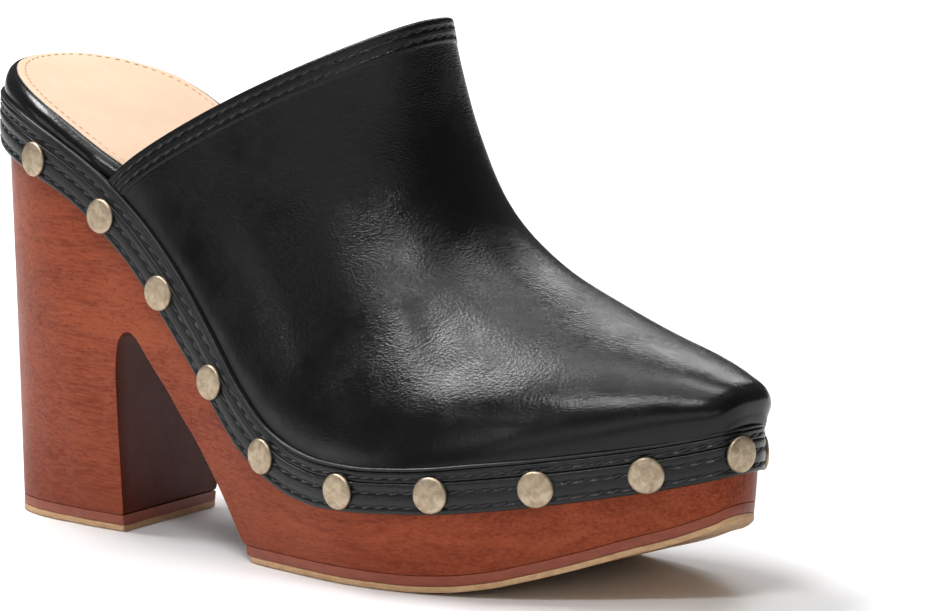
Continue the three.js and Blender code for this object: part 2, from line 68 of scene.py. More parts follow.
TAPER_LAT = [2.9,3.1,4.3,7.4,11.0,13.4,13.2,10.8,8.4,6.4,5.4,5.0,5.2]
TAPER_MED = [2.9,3.1,4.3,7.4,10.2,12.2,11.8,9.6,7.8,6.4,5.4,5.0,5.2]
BREAST = [[56.3,0],[57.4,16],[58.4,32],[59.2,42],[60.6,48]]
ARCH = [[60.6,48],[61.3,49.6],[62.6,51.0],[64.2,52.0],[66.2,52.3],[68.2,51.5],[69.7,50.3],[71.0,49.0]]
SHANK = [[71.0,49.0],[75.2,44.0],[80.0,38.8],[84.5,33.2],[89.2,28.2],[93.4,22.8],[97.6,17.2],[101.2,11.8],[104.4,6.4],[106.6,3.4],[108.6,0.6],[110.5,-3]]
HEEL_SKEW = -0.146
STUD_X_LAT = [38,61.5,81,99,118.4,145.4,171,194,215.4]
STUD_UP = [4.0,3.5,3.5,3.8,4.6,4.7,4.7,4.2,4.1,4.8]
TAN_T, MID_T = 1.5, 2.6
RAND_T = 1.9


def pchip(x, y):
    x = np.asarray(x, float); y = np.asarray(y, float)
    h = np.diff(x); d = np.diff(y) / h; n = len(x); m = np.zeros(n)
    for i in range(1, n - 1):
        if d[i - 1] * d[i] > 0:
            w1, w2 = 2 * h[i] + h[i - 1], h[i] + 2 * h[i - 1]
            m[i] = (w1 + w2) / (w1 / d[i - 1] + w2 / d[i])

    def edge(h0, h1, d0, d1):
        e = ((2 * h0 + h1) * d0 - h0 * d1) / (h0 + h1)
        if e * d0 <= 0:
            return 0.0
        if d0 * d1 <= 0 and abs(e) > 3 * abs(d0):
            return 3 * d0
        return e
    if n > 2:
        m[0] = edge(h[0], h[1], d[0], d[1]); m[-1] = edge(h[-1], h[-2], d[-1], d[-2])
    else:
        m[:] = d[0]

    def f(v):
        v = np.clip(np.asarray(v, float), x[0], x[-1])
        i = np.clip(np.searchsorted(x, v, side="right") - 1, 0, n - 2)
        t = (v - x[i]) / h[i]; t2, t3 = t * t, t * t * t
        return (2*t3-3*t2+1)*y[i] + (t3-2*t2+t)*h[i]*m[i] + (-2*t3+3*t2)*y[i+1] + (t3-t2)*h[i]*m[i+1]
    return f


rand_top = pchip(STATION, RAND_TOP_Z)
rand_low = pchip(STATION, RAND_LOW_Z)
insole_z = pchip(INSOLE_X, INSOLE_Z)
ground_z = pchip(GROUND_X, GROUND_Z)
taper = [pchip(TAPER_X, TAPER_LAT), pchip(TAPER_X, TAPER_MED)]
wood_inset = pchip([0, 60, 150, 240], [2.5, 2.4, 1.75, 1.75])


def catmull(P, n):
    N = len(P); out = []
    for i in range(N):
        p0, p1, p2, p3 = P[(i-1) % N], P[i], P[(i+1) % N], P[(i+2) % N]
        t0 = 0.0; t1 = t0 + np.linalg.norm(p1-p0)**.5; t2 = t1 + np.linalg.norm(p2-p1)**.5; t3 = t2 + np.linalg.norm(p3-p2)**.5
        t = (t1 + (t2 - t1) * np.arange(n) / n)[:, None]
        A1 = (t1-t)/(t1-t0)*p0+(t-t0)/(t1-t0)*p1; A2 = (t2-t)/(t2-t1)*p1+(t-t1)/(t2-t1)*p2; A3 = (t3-t)/(t3-t2)*p2+(t-t2)/(t3-t2)*p3
        B1 = (t2-t)/(t2-t0)*A1+(t-t0)/(t2-t0)*A2; B2 = (t3-t)/(t3-t1)*A2+(t-t1)/(t3-t1)*A3
        out.append((t2-t)/(t2-t1)*B1+(t-t1)/(t2-t1)*B2)
    return np.vstack(out)


DENSE = catmull(OUTLINE, 60)
ND = len(DENSE)
_t = np.roll(DENSE, -1, 0) - np.roll(DENSE, 1, 0)
_t /= np.linalg.norm(_t, axis=1)[:, None]
DN = np.stack([_t[:, 1], -_t[:, 0]], 1)          # outward, the loop runs heel, lateral, toe, medial
for _k in range(8):                              # soften the normals a little round tight corners
    DN = (np.roll(DN, 1, 0) + DN * 2 + np.roll(DN, -1, 0)); DN /= np.linalg.norm(DN, axis=1)[:, None]
I_TOE, I_HEEL = int(DENSE[:, 0].argmax()), int(DENSE[:, 0].argmin())
_lat = [(I_HEEL + k) % ND for k in range((I_TOE - I_HEEL) % ND + 1)]
_med = [(I_HEEL - k) % ND for k in range((I_HEEL - I_TOE) % ND + 1)]
SIDE = []
for _ids in (_lat, _med):
    xs = np.maximum.accumulate(DENSE[_ids, 0] + np.arange(len(_ids)) * 1e-7)
    SIDE.append((xs, DENSE[_ids], DN[_ids]))
X0, X1 = DENSE[I_HEEL, 0], DENSE[I_TOE, 0]


def outline_at(s, side):
    """Outline point and outward normal at stations s on one side."""
    xs, P, N = SIDE[side]
    s = np.asarray(s, float)
    p = np.stack([np.interp(s, xs, P[:, 0]), np.interp(s, xs, P[:, 1])], -1)
    n = np.stack([np.interp(s, xs, N[:, 0]), np.interp(s, xs, N[:, 1])], -1)
    n /= np.linalg.norm(n, axis=-1, keepdims=True)
    return p, n


def inset_at(s, side, d):
    p, n = outline_at(s, side)
    return p - n * np.asarray(d, float)[..., None]


def cos_stations(n, a=0.0, b=1.0):
    u = np.linspace(0, 1, n)
    return X0 + (X1 - X0) * (0.5 - 0.5 * np.cos(np.pi * u))


# ------------------------------------------------------------------ mesh helpers
def to_row(v):
    v = np.asarray(v, float).copy()
    v[:, 0] += OX; v[:, 1] += OY
    return v / 1000.0


def make(name, verts, faces, mat, smooth=True, merge=True, row=True, sharp=None):
    me = bpy.data.meshes.new(name)
    v = to_row(verts) if row else np.asarray(verts, float) / 1000.0
    me.from_pydata(v.tolist(), [], [list(map(int, f)) for f in faces])
    me.validate()
    ob = bpy.data.objects.new(name, me)
    bpy.context.scene.collection.objects.link(ob)
    import bmesh
    bm = bmesh.new(); bm.from_mesh(me)
    if merge:
        bmesh.ops.remove_doubles(bm, verts=bm.verts, dist=2e-6)
        bmesh.ops.dissolve_degenerate(bm, edges=bm.edges, dist=1e-6)
    bmesh.ops.recalc_face_normals(bm, faces=bm.faces)
    bm.to_mesh(me); bm.free()
    if smooth:
        me.polygons.foreach_set("use_smooth", [True] * len(me.polygons))
        if sharp is not None:
            me.set_sharp_from_angle(angle=math.radians(sharp))
    me.materials.append(mat)
    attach(ob, "root")
    return ob


def grid_faces(R, C, wrap_r=False, wrap_c=False, off=0, flip=False):
    f = []
    for i in range(R if wrap_r else R - 1):
        a = (i + 1) % R
        for j in range(C if wrap_c else C - 1):
            b = (j + 1) % C
            q = [off + i*C + j, off + i*C + b, off + a*C + b, off + a*C + j]
            f.append(q[::-1] if flip else q)
    return f


def value_noise(P, scale, seed=0):
    """Smooth, seeded 3-D value noise on points in mm; about -1 to 1."""
    g = np.random.default_rng(seed).uniform(-1, 1, (17, 17, 17))
    q = np.asarray(P, float) / scale
    i = np.floor(q).astype(int); f = q - i; f = f * f * (3 - 2 * f); i %= 16
    o = 0
    for dx in (0, 1):
        for dy in (0, 1):
            for dz in (0, 1):
                w = (f[..., 0] if dx else 1 - f[..., 0]) * (f[..., 1] if dy else 1 - f[..., 1]) * (f[..., 2] if dz else 1 - f[..., 2])
                o = o + w * g[(i[..., 0]+dx) % 16, (i[..., 1]+dy) % 16, (i[..., 2]+dz) % 16]
    return o


# ------------------------------------------------------------------ materials
def new_mat(name):
    m = bpy.data.materials.new(name)
    m.use_nodes = True
    nt = m.node_tree
    b = nt.nodes["Principled BSDF"]
    return m, nt, b


class NT:
    def __init__(self, nt):
        self.nt = nt
        self.tc = nt.nodes.new("ShaderNodeTexCoord")

    def n(self, kind, **kw):
        x = self.nt.nodes.new(kind)
        for k, v in kw.items():
            setattr(x, k, v)
        return x

    def link(self, a, b):
        self.nt.links.new(a, b)

    def mapping(self, scale, rot=(0, 0, 0), loc=(0, 0, 0), src=None):
        m = self.n("ShaderNodeMapping")
        m.inputs["Scale"].default_value = scale
        m.inputs["Rotation"].default_value = rot
        m.inputs["Location"].default_value = loc
        self.link(src or self.tc.outputs["Object"], m.inputs["Vector"])
        return m.outputs[0]

    def noise(self, vec, scale, detail=4, rough=0.5, dist=0.0):
        x = self.n("ShaderNodeTexNoise")
        x.inputs["Scale"].default_value = scale
        x.inputs["Detail"].default_value = detail
        x.inputs["Roughness"].default_value = rough
        x.inputs["Distortion"].default_value = dist
        self.link(vec, x.inputs["Vector"])
        return x.outputs["Fac"]

    def voronoi(self, vec, scale, feature="F1", smooth=None, rand=1.0):
        x = self.n("ShaderNodeTexVoronoi", feature=feature)
        x.inputs["Scale"].default_value = scale
        x.inputs["Randomness"].default_value = rand
        if smooth is not None and "Smoothness" in x.inputs:
            x.inputs["Smoothness"].default_value = smooth
        self.link(vec, x.inputs["Vector"])
        return x.outputs["Distance"]

    def ramp(self, fac, stops, interp="LINEAR"):
        r = self.n("ShaderNodeValToRGB")
        r.color_ramp.interpolation = interp
        e = r.color_ramp.elements
        while len(e) < len(stops):
            e.new(0.5)
        for k, (p, c) in enumerate(stops):
            e[k].position = p
            e[k].color = (c, c, c, 1) if isinstance(c, (int, float)) else (*c, 1)
        self.link(fac, r.inputs[0])
        return r.outputs[0]

    def mix(self, fac, a, b, mode="MIX"):
        m = self.n("ShaderNodeMix", data_type="RGBA", blend_type=mode)
        for val, sock in ((fac, m.inputs[0]), (a, m.inputs[6]), (b, m.inputs[7])):
            if isinstance(val, (int, float)):
                sock.default_value = val if sock.type == "VALUE" else (val, val, val, 1)
            elif isinstance(val, tuple):
                sock.default_value = (*val, 1)
            else:
                self.link(val, sock)
        return m.outputs[2]

    def math(self, op, a, b=None, c=None, clamp=False):
        m = self.n("ShaderNodeMath", operation=op, use_clamp=clamp)
        for k, v in enumerate((a, b, c)):
            if v is None:
                continue
            if isinstance(v, (int, float)):
                m.inputs[k].default_value = v
            else:
                self.link(v, m.inputs[k])
        return m.outputs[0]

    def maprange(self, v, a, b, c, d):
        m = self.n("ShaderNodeMapRange")
        self.link(v, m.inputs[0])
        for k, q in zip(range(1, 5), (a, b, c, d)):
            m.inputs[k].default_value = q
        return m.outputs[0]

    def bump(self, height, strength, dist=0.001, normal=None):
        b = self.n("ShaderNodeBump")
        b.inputs["Strength"].default_value = strength
        b.inputs["Distance"].default_value = dist
        self.link(height, b.inputs["Height"])
        if normal is not None:
            self.link(normal, b.inputs["Normal"])
        return b.outputs[0]

    def sep(self, src=None):
        s = self.n("ShaderNodeSeparateXYZ")
        self.link(src or self.tc.outputs["Object"], s.inputs[0])
        return s.outputs


def leather(name, base, rough, grain=0.25, grain_size=1.0, crease=0.2, coat=0.0, spec=0.5, mask=False, wear=0.0):
    m, nt, b = new_mat(name)
    t = NT(nt)
    v = t.tc.outputs["Object"]
    warp = t.n("ShaderNodeVectorMath", operation="ADD")
    nz = t.n("ShaderNodeTexNoise"); nz.inputs["Scale"].default_value = 420; t.link(v, nz.inputs["Vector"])
    sc = t.n("ShaderNodeVectorMath", operation="SCALE"); sc.inputs["Scale"].default_value = 0.0009
    t.link(nz.outputs["Color"], sc.inputs[0]); t.link(v, warp.inputs[0]); t.link(sc.outputs[0], warp.inputs[1])
    wv = warp.outputs[0]
    cells = t.voronoi(t.mapping((1.0, 1.0, 1.7), src=wv), 1000 / grain_size, "F1")
    fine = t.noise(wv, 3000 / grain_size, 3, 0.6)
    cre = t.noise(t.mapping((1.0, 1.0, 2.6), (0.3, 0.0, 0.0), src=wv), 640 / grain_size, 5, 0.68, 0.4)
    big = t.noise(v, 38, 3, 0.5)
    h = t.math("ADD", t.math("MULTIPLY", cells, 0.7), t.math("ADD", t.math("MULTIPLY", fine, 0.3), t.math("MULTIPLY", cre, crease * 4)))
    if mask:
        # the grain opens up where the leather flexes and closes where it is pulled tight
        at = t.n("ShaderNodeAttribute"); at.attribute_name = "grain"
        k = t.math("MULTIPLY", at.outputs["Fac"], t.maprange(t.noise(v, 60, 3, 0.55), 0.35, 0.65, 0.5, 1.15))
        h = t.math("MULTIPLY", h, k)
    soft = t.noise(v, 75, 3, 0.5)
    n1 = t.bump(soft, 0.06, 0.0022)
    n2 = t.bump(h, grain, 0.0006, n1)
    t.link(n2, b.inputs["Normal"])
    col = t.mix(t.ramp(big, [(0.3, 0.0), (0.75, 1.0)]), tuple(c * 0.8 for c in base), tuple(min(1, c * 1.35) for c in base))
    col = t.mix(t.ramp(cells, [(0.1, 1.0), (0.55, 0.0)]), col, tuple(c * 0.55 for c in base))
    if wear:
        ed = t.n("ShaderNodeNewGeometry")
        w = t.ramp(ed.outputs["Pointiness"], [(0.53, 0.0), (0.62, 1.0)])
        w = t.math("MULTIPLY", w, t.ramp(t.noise(v, 900, 3, 0.6), [(0.45, 0.0), (0.6, wear)]))
        col = t.mix(w, col, tuple(min(1, c * 3 + 0.03) for c in base))
    t.link(col, b.inputs["Base Color"])
    r = t.maprange(t.noise(v, 120, 4, 0.6), 0.3, 0.7, rough - 0.04, rough + 0.06)
    t.link(r, b.inputs["Roughness"])
    b.inputs["Specular IOR Level"].default_value = spec
    b.inputs["Coat Weight"].default_value = coat
    b.inputs["Coat Roughness"].default_value = 0.22
    return m


def wood_mat():
    m, nt, b = new_mat("stained_wood")
    t = NT(nt)
    v = t.tc.outputs["Object"]
    # growth bands run along the shoe, wavering slightly
    low = t.noise(t.mapping((0.35, 1.0, 1.0)), 36, 3, 0.55, 0.6)
    bands = t.noise(t.mapping((0.16, 1.0, 1.3)), 150, 4, 0.6, 0.9)
    fibre = t.noise(t.mapping((0.10, 1.0, 1.0)), 1500, 3, 0.65, 0.2)
    fleck = t.noise(t.mapping((0.24, 1.0, 1.1)), 2100, 2, 0.5, 0.4)
    pores = t.ramp(fleck, [(0.56, 0.0), (0.68, 1.0)])
    c = t.mix(t.ramp(low, [(0.32, 0.0), (0.70, 1.0)]), (0.205, 0.030, 0.0105), (0.335, 0.070, 0.026))
    c = t.mix(t.math("MULTIPLY", t.ramp(bands, [(0.40, 0.0), (0.66, 1.0)]), 0.72), c, (0.155, 0.020, 0.007))
    c = t.mix(t.math("MULTIPLY", t.ramp(fibre, [(0.38, 0.0), (0.66, 1.0)]), 0.42), c, (0.42, 0.112, 0.043))
    c = t.mix(t.math("MULTIPLY", pores, 0.5), c, (0.11, 0.015, 0.005))
    # darker towards the bottom, near the ground
    z = t.sep()[2]
    foot = t.maprange(z, 0.004, 0.028, 0.35, 0.0)
    c = t.mix(foot, c, (0.15, 0.028, 0.012))
    # painted shade, with some darker end-grain stain: faces in the heel arch, breast and shank are darkened where
    # little light reaches them
    arch_shade_attr = t.n("ShaderNodeAttribute"); arch_shade_attr.attribute_name = "arch_painted_shade"
    c = t.mix(t.math("MULTIPLY", arch_shade_attr.outputs["Fac"], 0.9), c, t.mix(fibre, (0.045, 0.0045, 0.0016), (0.085, 0.011, 0.004)))
    t.link(c, b.inputs["Base Color"])
    r = t.math("ADD", t.maprange(t.noise(v, 90, 4, 0.6), 0.3, 0.7, 0.34, 0.44), t.math("MULTIPLY", pores, 0.12))
    t.link(r, b.inputs["Roughness"])
    n1 = t.bump(t.math("MULTIPLY", pores, -1.0), 0.12, 0.0004)
    n2 = t.bump(fibre, 0.05, 0.0005, n1)
    n3 = t.bump(t.noise(v, 60, 2, 0.5), 0.10, 0.002, n2)
    t.link(n3, b.inputs["Normal"])
    b.inputs["Specular IOR Level"].default_value = 0.11
    b.inputs["Coat Weight"].default_value = 0.0
    b.inputs["Coat Roughness"].default_value = 0.25
    return m


def edge_mat(name, dark, light, rough=0.6, layered=True, speck=900):
    m, nt, b = new_mat(name)
    t = NT(nt)
    v = t.tc.outputs["Object"]
    a = t.noise(t.mapping((0.3, 0.3, 1.0)), 700, 4, 0.65)
    s = t.noise(v, speck, 3, 0.6)
    big = t.noise(v, 45, 2, 0.5)
    c = t.mix(t.ramp(a, [(0.3, 0.0), (0.7, 1.0)]), dark, light)
    c = t.mix(t.math("MULTIPLY", t.ramp(s, [(0.5, 0.0), (0.7, 1.0)]), 0.35), c, tuple(q * 0.6 for q in dark))
    c = t.mix(t.math("MULTIPLY", big, 0.25), c, tuple(min(1, q * 1.3) for q in light))
    t.link(c, b.inputs["Base Color"])
    t.link(t.maprange(s, 0.3, 0.7, rough - 0.06, rough + 0.08), b.inputs["Roughness"])
    t.link(t.bump(t.math("ADD", s, t.math("MULTIPLY", a, 0.7)), 0.22, 0.0004), b.inputs["Normal"])
    return m


def sock_mat():
    m, nt, b = new_mat("sock_leather")
    t = NT(nt)
    v = t.tc.outputs["Object"]
    cl = t.noise(v, 30, 4, 0.6)
    fine = t.noise(v, 1500, 4, 0.65)
    pore = t.voronoi(v, 1500)
    streak = t.noise(t.mapping((0.25, 1.0, 1.0)), 160, 3, 0.6, 0.4)
    c = t.mix(t.ramp(cl, [(0.3, 0.0), (0.7, 1.0)]), (0.66, 0.435, 0.295), (0.72, 0.50, 0.35))
    c = t.mix(t.math("MULTIPLY", t.ramp(streak, [(0.48, 0.0), (0.7, 1.0)]), 0.28), c, (0.75, 0.545, 0.40))
    c = t.mix(t.math("MULTIPLY", t.ramp(pore, [(0.05, 1.0), (0.22, 0.0)]), 0.2), c, (0.55, 0.34, 0.22))
    t.link(c, b.inputs["Base Color"])
    t.link(t.maprange(fine, 0.3, 0.7, 0.52, 0.64), b.inputs["Roughness"])
    h = t.math("ADD", t.math("MULTIPLY", fine, 0.5), pore)
    t.link(t.bump(t.noise(v, 55, 3, 0.5), 0.12, 0.002, t.bump(h, 0.16, 0.0003)), b.inputs["Normal"])
    return m


def thread_mat(name, base, twist=5200):
    m, nt, b = new_mat(name)
    t = NT(nt)
    v = t.tc.outputs["Object"]
    w = t.n("ShaderNodeTexWave", wave_type="BANDS", bands_direction="DIAGONAL")
    w.inputs["Scale"].default_value = twist / 6.0
    w.inputs["Distortion"].default_value = 1.5
    t.link(v, w.inputs["Vector"])
    fz = t.noise(v, 3500, 3, 0.7)
    t.link(t.mix(fz, tuple(q * 0.7 for q in base), tuple(min(1, q * 1.5) for q in base)), b.inputs["Base Color"])
    t.link(t.maprange(fz, 0.3, 0.7, 0.42, 0.6), b.inputs["Roughness"])
    t.link(t.bump(t.math("ADD", w.outputs["Fac"], fz), 0.5, 0.0002), b.inputs["Normal"])
    b.inputs["Sheen Weight"].default_value = 0.15
    return m


def stud_mat():
    m, nt, b = new_mat("antique_brass")
    t = NT(nt)
    v = t.tc.outputs["Object"]
    xyz = t.sep()
    rad = t.math("SQRT", t.math("ADD", t.math("MULTIPLY", xyz[0], xyz[0]), t.math("MULTIPLY", xyz[1], xyz[1])))
    info = t.n("ShaderNodeObjectInfo")
    add = t.n("ShaderNodeVectorMath", operation="ADD")
    t.link(v, add.inputs[0]); t.link(info.outputs["Location"], add.inputs[1])
    w = add.outputs[0]
    mot = t.noise(w, 520, 5, 0.62, 0.3)
    fine = t.noise(w, 2600, 4, 0.6)
    scr = t.noise(t.mapping((1.0, 0.08, 1.0), (0, 0, 0.6), src=w), 3600, 2, 0.5)
    c = t.mix(t.ramp(mot, [(0.34, 0.0), (0.66, 1.0)]), (0.34, 0.255, 0.17), (0.55, 0.45, 0.325))
    c = t.mix(t.math("MULTIPLY", t.ramp(fine, [(0.52, 0.0), (0.70, 1.0)]), 0.35), c, (0.22, 0.155, 0.09))
    # painted shade: a dark ring at the stud's outer edge stands in for the shadow in the gap round its head
    rim = t.ramp(t.math("MULTIPLY", rad, 1000 / 4.6), [(0.0, 0.0), (0.925, 0.0), (0.955, 1.0)])
    c = t.mix(rim, c, (0.07, 0.05, 0.035))
    t.link(c, b.inputs["Base Color"])
    b.inputs["Metallic"].default_value = 0.85
    t.link(t.math("ADD", t.maprange(mot, 0.3, 0.7, 0.50, 0.38), t.math("MULTIPLY", rim, 0.15)), b.inputs["Roughness"])
    h = t.math("ADD", t.math("MULTIPLY", fine, 0.6), t.math("MULTIPLY", scr, 0.5))
    t.link(t.bump(mot, 0.12, 0.001, t.bump(h, 0.12, 0.0003)), b.inputs["Normal"])
    return m


def fibre_mat(name, a, c2, scale=400):
    m, nt, b = new_mat(name)
    t = NT(nt)
    v = t.tc.outputs["Object"]
    f = t.noise(v, scale, 5, 0.7)
    g = t.noise(v, scale * 5, 3, 0.6)
    t.link(t.mix(t.ramp(t.math("ADD", t.math("MULTIPLY", f, 0.6), t.math("MULTIPLY", g, 0.4)), [(0.35, 0.0), (0.65, 1.0)]), a, c2), b.inputs["Base Color"])
    t.link(t.maprange(g, 0.3, 0.7, 0.78, 0.92), b.inputs["Roughness"])
    t.link(t.bump(g, 0.3, 0.0005), b.inputs["Normal"])
    return m


def steel_mat():
    m, nt, b = new_mat("nail_steel")
    t = NT(nt)
    v = t.tc.outputs["Object"]
    f = t.noise(v, 1500, 5, 0.7)
    g = t.noise(t.mapping((1, 1, 0.1)), 3000, 3, 0.6)
    t.link(t.mix(t.ramp(f, [(0.4, 0.0), (0.7, 1.0)]), (0.42, 0.42, 0.41), (0.26, 0.24, 0.22)), b.inputs["Base Color"])
    b.inputs["Metallic"].default_value = 1.0
    t.link(t.maprange(g, 0.3, 0.7, 0.3, 0.5), b.inputs["Roughness"])
    t.link(t.bump(g, 0.1, 0.0003), b.inputs["Normal"])
    return m


M_WOOD = wood_mat()
M_MID = edge_mat("brown_edge", (0.185, 0.030, 0.011), (0.275, 0.058, 0.022), 0.45)
M_TAN = edge_mat("tan_tread", (0.42, 0.235, 0.11), (0.60, 0.385, 0.21), 0.7, speck=1200)
M_RAND = leather("rand_leather", (0.0075, 0.0076, 0.0085), 0.34, grain=0.16, grain_size=0.9, crease=0.12, spec=0.36, wear=0.2)
M_UPPER = leather("upper_leather", (0.0045, 0.0045, 0.0050), 0.24, grain=0.25, grain_size=0.75, crease=0.16, spec=0.29, mask=True)
M_WRAP = leather("wrap_leather", (0.0055, 0.0054, 0.0054), 0.20, grain=0.08, grain_size=0.8, crease=0.12, spec=0.32)
M_LINING = leather("lining_leather", (0.016, 0.015, 0.0145), 0.6, grain=0.3, grain_size=0.7, crease=0.12)
M_SOCK = sock_mat()
M_THREAD = thread_mat("black_thread", (0.0075, 0.0075, 0.0125))
M_THREAD_TAN = thread_mat("tan_thread", (0.46, 0.27, 0.16))
M_STUD = stud_mat()
M_BOARD = fibre_mat("fibre_board", (0.17, 0.12, 0.07), (0.30, 0.22, 0.14))
M_PUFF = fibre_mat("stiffener", (0.5, 0.45, 0.34), (0.66, 0.6, 0.48), 700)
M_NAIL = steel_mat()

# ------------------------------------------------------------------ camera
AZ, EL, ROLL = math.radians(39.2), math.radians(8.06), math.radians(0.08)
FPX, DIST, TX, TY = 5167.0, 1262.0, 24.4, -9.6
cb = Vector((math.sin(AZ) * math.cos(EL), -math.cos(AZ) * math.cos(EL), math.sin(EL)))
cr = Vector((math.cos(AZ), math.sin(AZ), 0))
cu = cb.cross(cr)
cpos = Vector((120.0, 0, 70.0)) + cb * DIST + cr * TX + cu * TY
cam_data = bpy.data.cameras.new("camera")
cam = bpy.data.objects.new("camera", cam_data)
bpy.context.scene.collection.objects.link(cam)
cam_data.sensor_width = 36.0
cam_data.lens = FPX * 36.0 / 947.0
cam_data.clip_start, cam_data.clip_end = 0.05, 50
rot = Matrix((cr, cu, cb)).transposed() @ Matrix.Rotation(-ROLL, 3, "Z")
cam.matrix_world = Matrix.Translation(((cpos.x + OX) / 1000, (cpos.y + OY) / 1000, cpos.z / 1000)) @ rot.to_4x4()
bpy.context.scene.camera = cam


# ------------------------------------------------------------------ wooden sole
def wall(s, side, z, top_inset=None):
    """Point on the wood's side wall at stations s and heights z."""
    s = np.asarray(s, float); z = np.asarray(z, float)
    p, n = outline_at(s, side)
    low = rand_low(p[..., 0])
    q = np.clip((low - z) / (low + 3.0), 0, 1)
    w0 = wood_inset(p[..., 0]) if top_inset is None else top_inset
    d = w0 + (taper[side](p[..., 0]) - w0) * q ** 1.25
    xy = p - n * d[..., None]
    return np.concatenate([xy, z[..., None]], -1), n


def station_for(x, side, z):
    """Station whose wall point has this actual x."""
    s = np.array(x, float)
    for _ in range(6):
        w, _n = wall(s, side, z)
        s = s + (np.asarray(x) - w[..., 0])
    return s


def smooth_curve(pts, n):
    pts = np.array(pts, float)
    d = np.r_[0, np.cumsum(np.linalg.norm(np.diff(pts, axis=0), axis=1))]
    fx, fz = pchip(d, pts[:, 0]), pchip(d, pts[:, 1])
    t = np.linspace(0, d[-1], n)
    return np.stack([fx(t), fz(t)], 1)


WOOD_BOTTOM = TAN_T + MID_T + 0.04
breast_of_z = pchip([p[1] for p in BREAST], [p[0] for p in BREAST])
_shz = [p[1] for p in SHANK][::-1]
shank_of_z = pchip(_shz, [p[0] for p in SHANK][::-1])


def base_profile(side):
    """Lower boundary of the wood on one side: station, height and the inward rounding, heel to toe; and the top station it hangs from."""
    rows = []
    n1, n2, n3, n4 = 70, 44, 46, 110
    zb = WOOD_BOTTOM
    r = 0.9
    u = 0.5 - 0.5 * np.cos(np.pi * np.linspace(0, 1, 2 * n1))[:n1]       # clusters at the heel end
    u = u / u[-1]
    # breast foot station on this side, with the lean
    def skewed(x, z, w):
        s = station_for(x, side, z)
        for _ in range(4):
            y = wall(s, side, z)[0][..., 1]
            s = station_for(x + HEEL_SKEW * w * (y + 21.6), side, z)
        return s
    sb = float(skewed(np.array(breast_of_z(zb)), np.array(zb), 1.0))
    for k in u:
        s = X0 + (sb - r - X0) * k
        rows.append((s, zb, s if s < 30 else 30 + (s - 30) * (51.5 - 30) / (sb - 30)))
    # fillet at the foot of the breast
    for k in (0.35, 0.65):
        rows.append((sb - r * (1 - k) ** 2, zb + r * k ** 2, 51.5 + 0.3 * k))
    zz = np.linspace(zb + r, 48, n2)
    sx = skewed(breast_of_z(zz), zz, np.ones(n2))
    for k in range(n2):
        rows.append((sx[k], zz[k], 52 + (60.3 - 52) * k / (n2 - 1)))
    ar = smooth_curve(ARCH, 26)[1:]
    wgt = np.clip(1 - np.linspace(0, 1, len(ar)) * 1.0, 0, 1)
    sa = skewed(ar[:, 0], ar[:, 1], wgt)
    for k in range(len(ar)):
        rows.append((sa[k], ar[k, 1], 60.3 + (72.5 - 60.3) * (k + 1) / len(ar)))
    sh = smooth_curve([p for p in SHANK if p[1] > zb + r] + [[float(shank_of_z(zb + r)), zb + r]], n3)[1:]
    ss = station_for(sh[:, 0], side, sh[:, 1])
    for k in range(len(sh)):
        rows.append((ss[k], sh[k, 1], 72.5 + (109 - 72.5) * (k + 1) / len(sh)))
    s0 = float(station_for(np.array(float(shank_of_z(zb))), side, np.array(zb)))
    for k in (0.35, 0.7):
        rows.append((ss[-1] + (s0 + r - ss[-1]) * k ** 1.4, zb + r * (1 - k) ** 2, 109 + 0.3 * k))
    u = 0.5 - 0.5 * np.cos(np.pi * np.linspace(0, 1, 2 * n4))[n4:]
    u = (u - u[0]) / (u[-1] - u[0])
    for k in u:
        s = s0 + r + (X1 - s0 - r) * k
        g = float(ground_z(max(s, 126.0)))
        a = 109.6 + (s - s0 - r) * (132 - 109.6) / (132 - s0 - r)
        rows.append((s, zb + g, max(s, a) if s < 132 else s))
    return np.array(rows)


def build_sole():
    NV, R, NB, NTOP = 30, 0.35, 10, 6
    prof = [base_profile(0), base_profile(1)]
    n = len(prof[0])
    cols = []
    for side in (0, 1):
        s_b, z_b, s_t = prof[side].T
        z_top = rand_top(outline_at(s_t, side)[0][:, 0]) - 2.0
        v = np.linspace(0, 1, NV)
        S = s_t[:, None] + (s_b - s_t)[:, None] * v
        Z = z_top[:, None] + (z_b - z_top)[:, None] * v
        W, N = wall(S, side, Z)
        C = W[:, -1]
        up = W[:, -2] - C; up /= np.linalg.norm(up, axis=1)[:, None]
        inn = np.concatenate([-N[:, -1], np.zeros((n, 1))], 1)
        wall_pts = [W[:, j] for j in range(NV - 1)]
        arc = [C + up * R * (1 - k) ** 2 + inn * R * k ** 2 for k in (0.0, 0.3, 0.55, 0.8, 1.0)]
        cols.append(wall_pts + arc)
    A, B = cols[0], cols[1]
    mid = [A[-1] + (B[-1] - A[-1]) * t for t in np.linspace(0, 1, NB + 2)[1:-1]]
    top = [B[0] + (A[0] - B[0]) * t for t in np.linspace(0, 1, NTOP + 2)[1:-1]]
    loop = A + mid + B[::-1] + top
    G = np.stack(loop, 1)                       # stations x loop x 3
    G[..., 2] += 0
    Rn, Cn = G.shape[:2]
    ob = make("wooden_sole_carved", G.reshape(-1, 3), grid_faces(Rn, Cn, wrap_c=True), M_WOOD, sharp=62)
    return ob


sole = build_sole()
_n = len(sole.data.vertices)
_co, _no = np.zeros(_n * 3), np.zeros(_n * 3)
sole.data.vertices.foreach_get("co", _co)
sole.data.vertex_normals.foreach_get("vector", _no)
_co, _no = _co.reshape(-1, 3) * 1000 - np.array([OX, OY, 0]), _no.reshape(-1, 3)
# painted shade: marks the heel arch, breast and shank faces, which the wood material darkens where little light reaches
_arch_shade_mask = np.clip((0.6 - np.abs(_no[:, 1])) / 0.3, 0, 1) * ((_co[:, 0] > 50) & (_co[:, 0] < 113) & (_co[:, 2] < 56))
sole.data.attributes.new("arch_painted_shade", "FLOAT", "POINT").data.foreach_set("value", _arch_shade_mask.astype(np.float32))
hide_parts("wooden_sole")


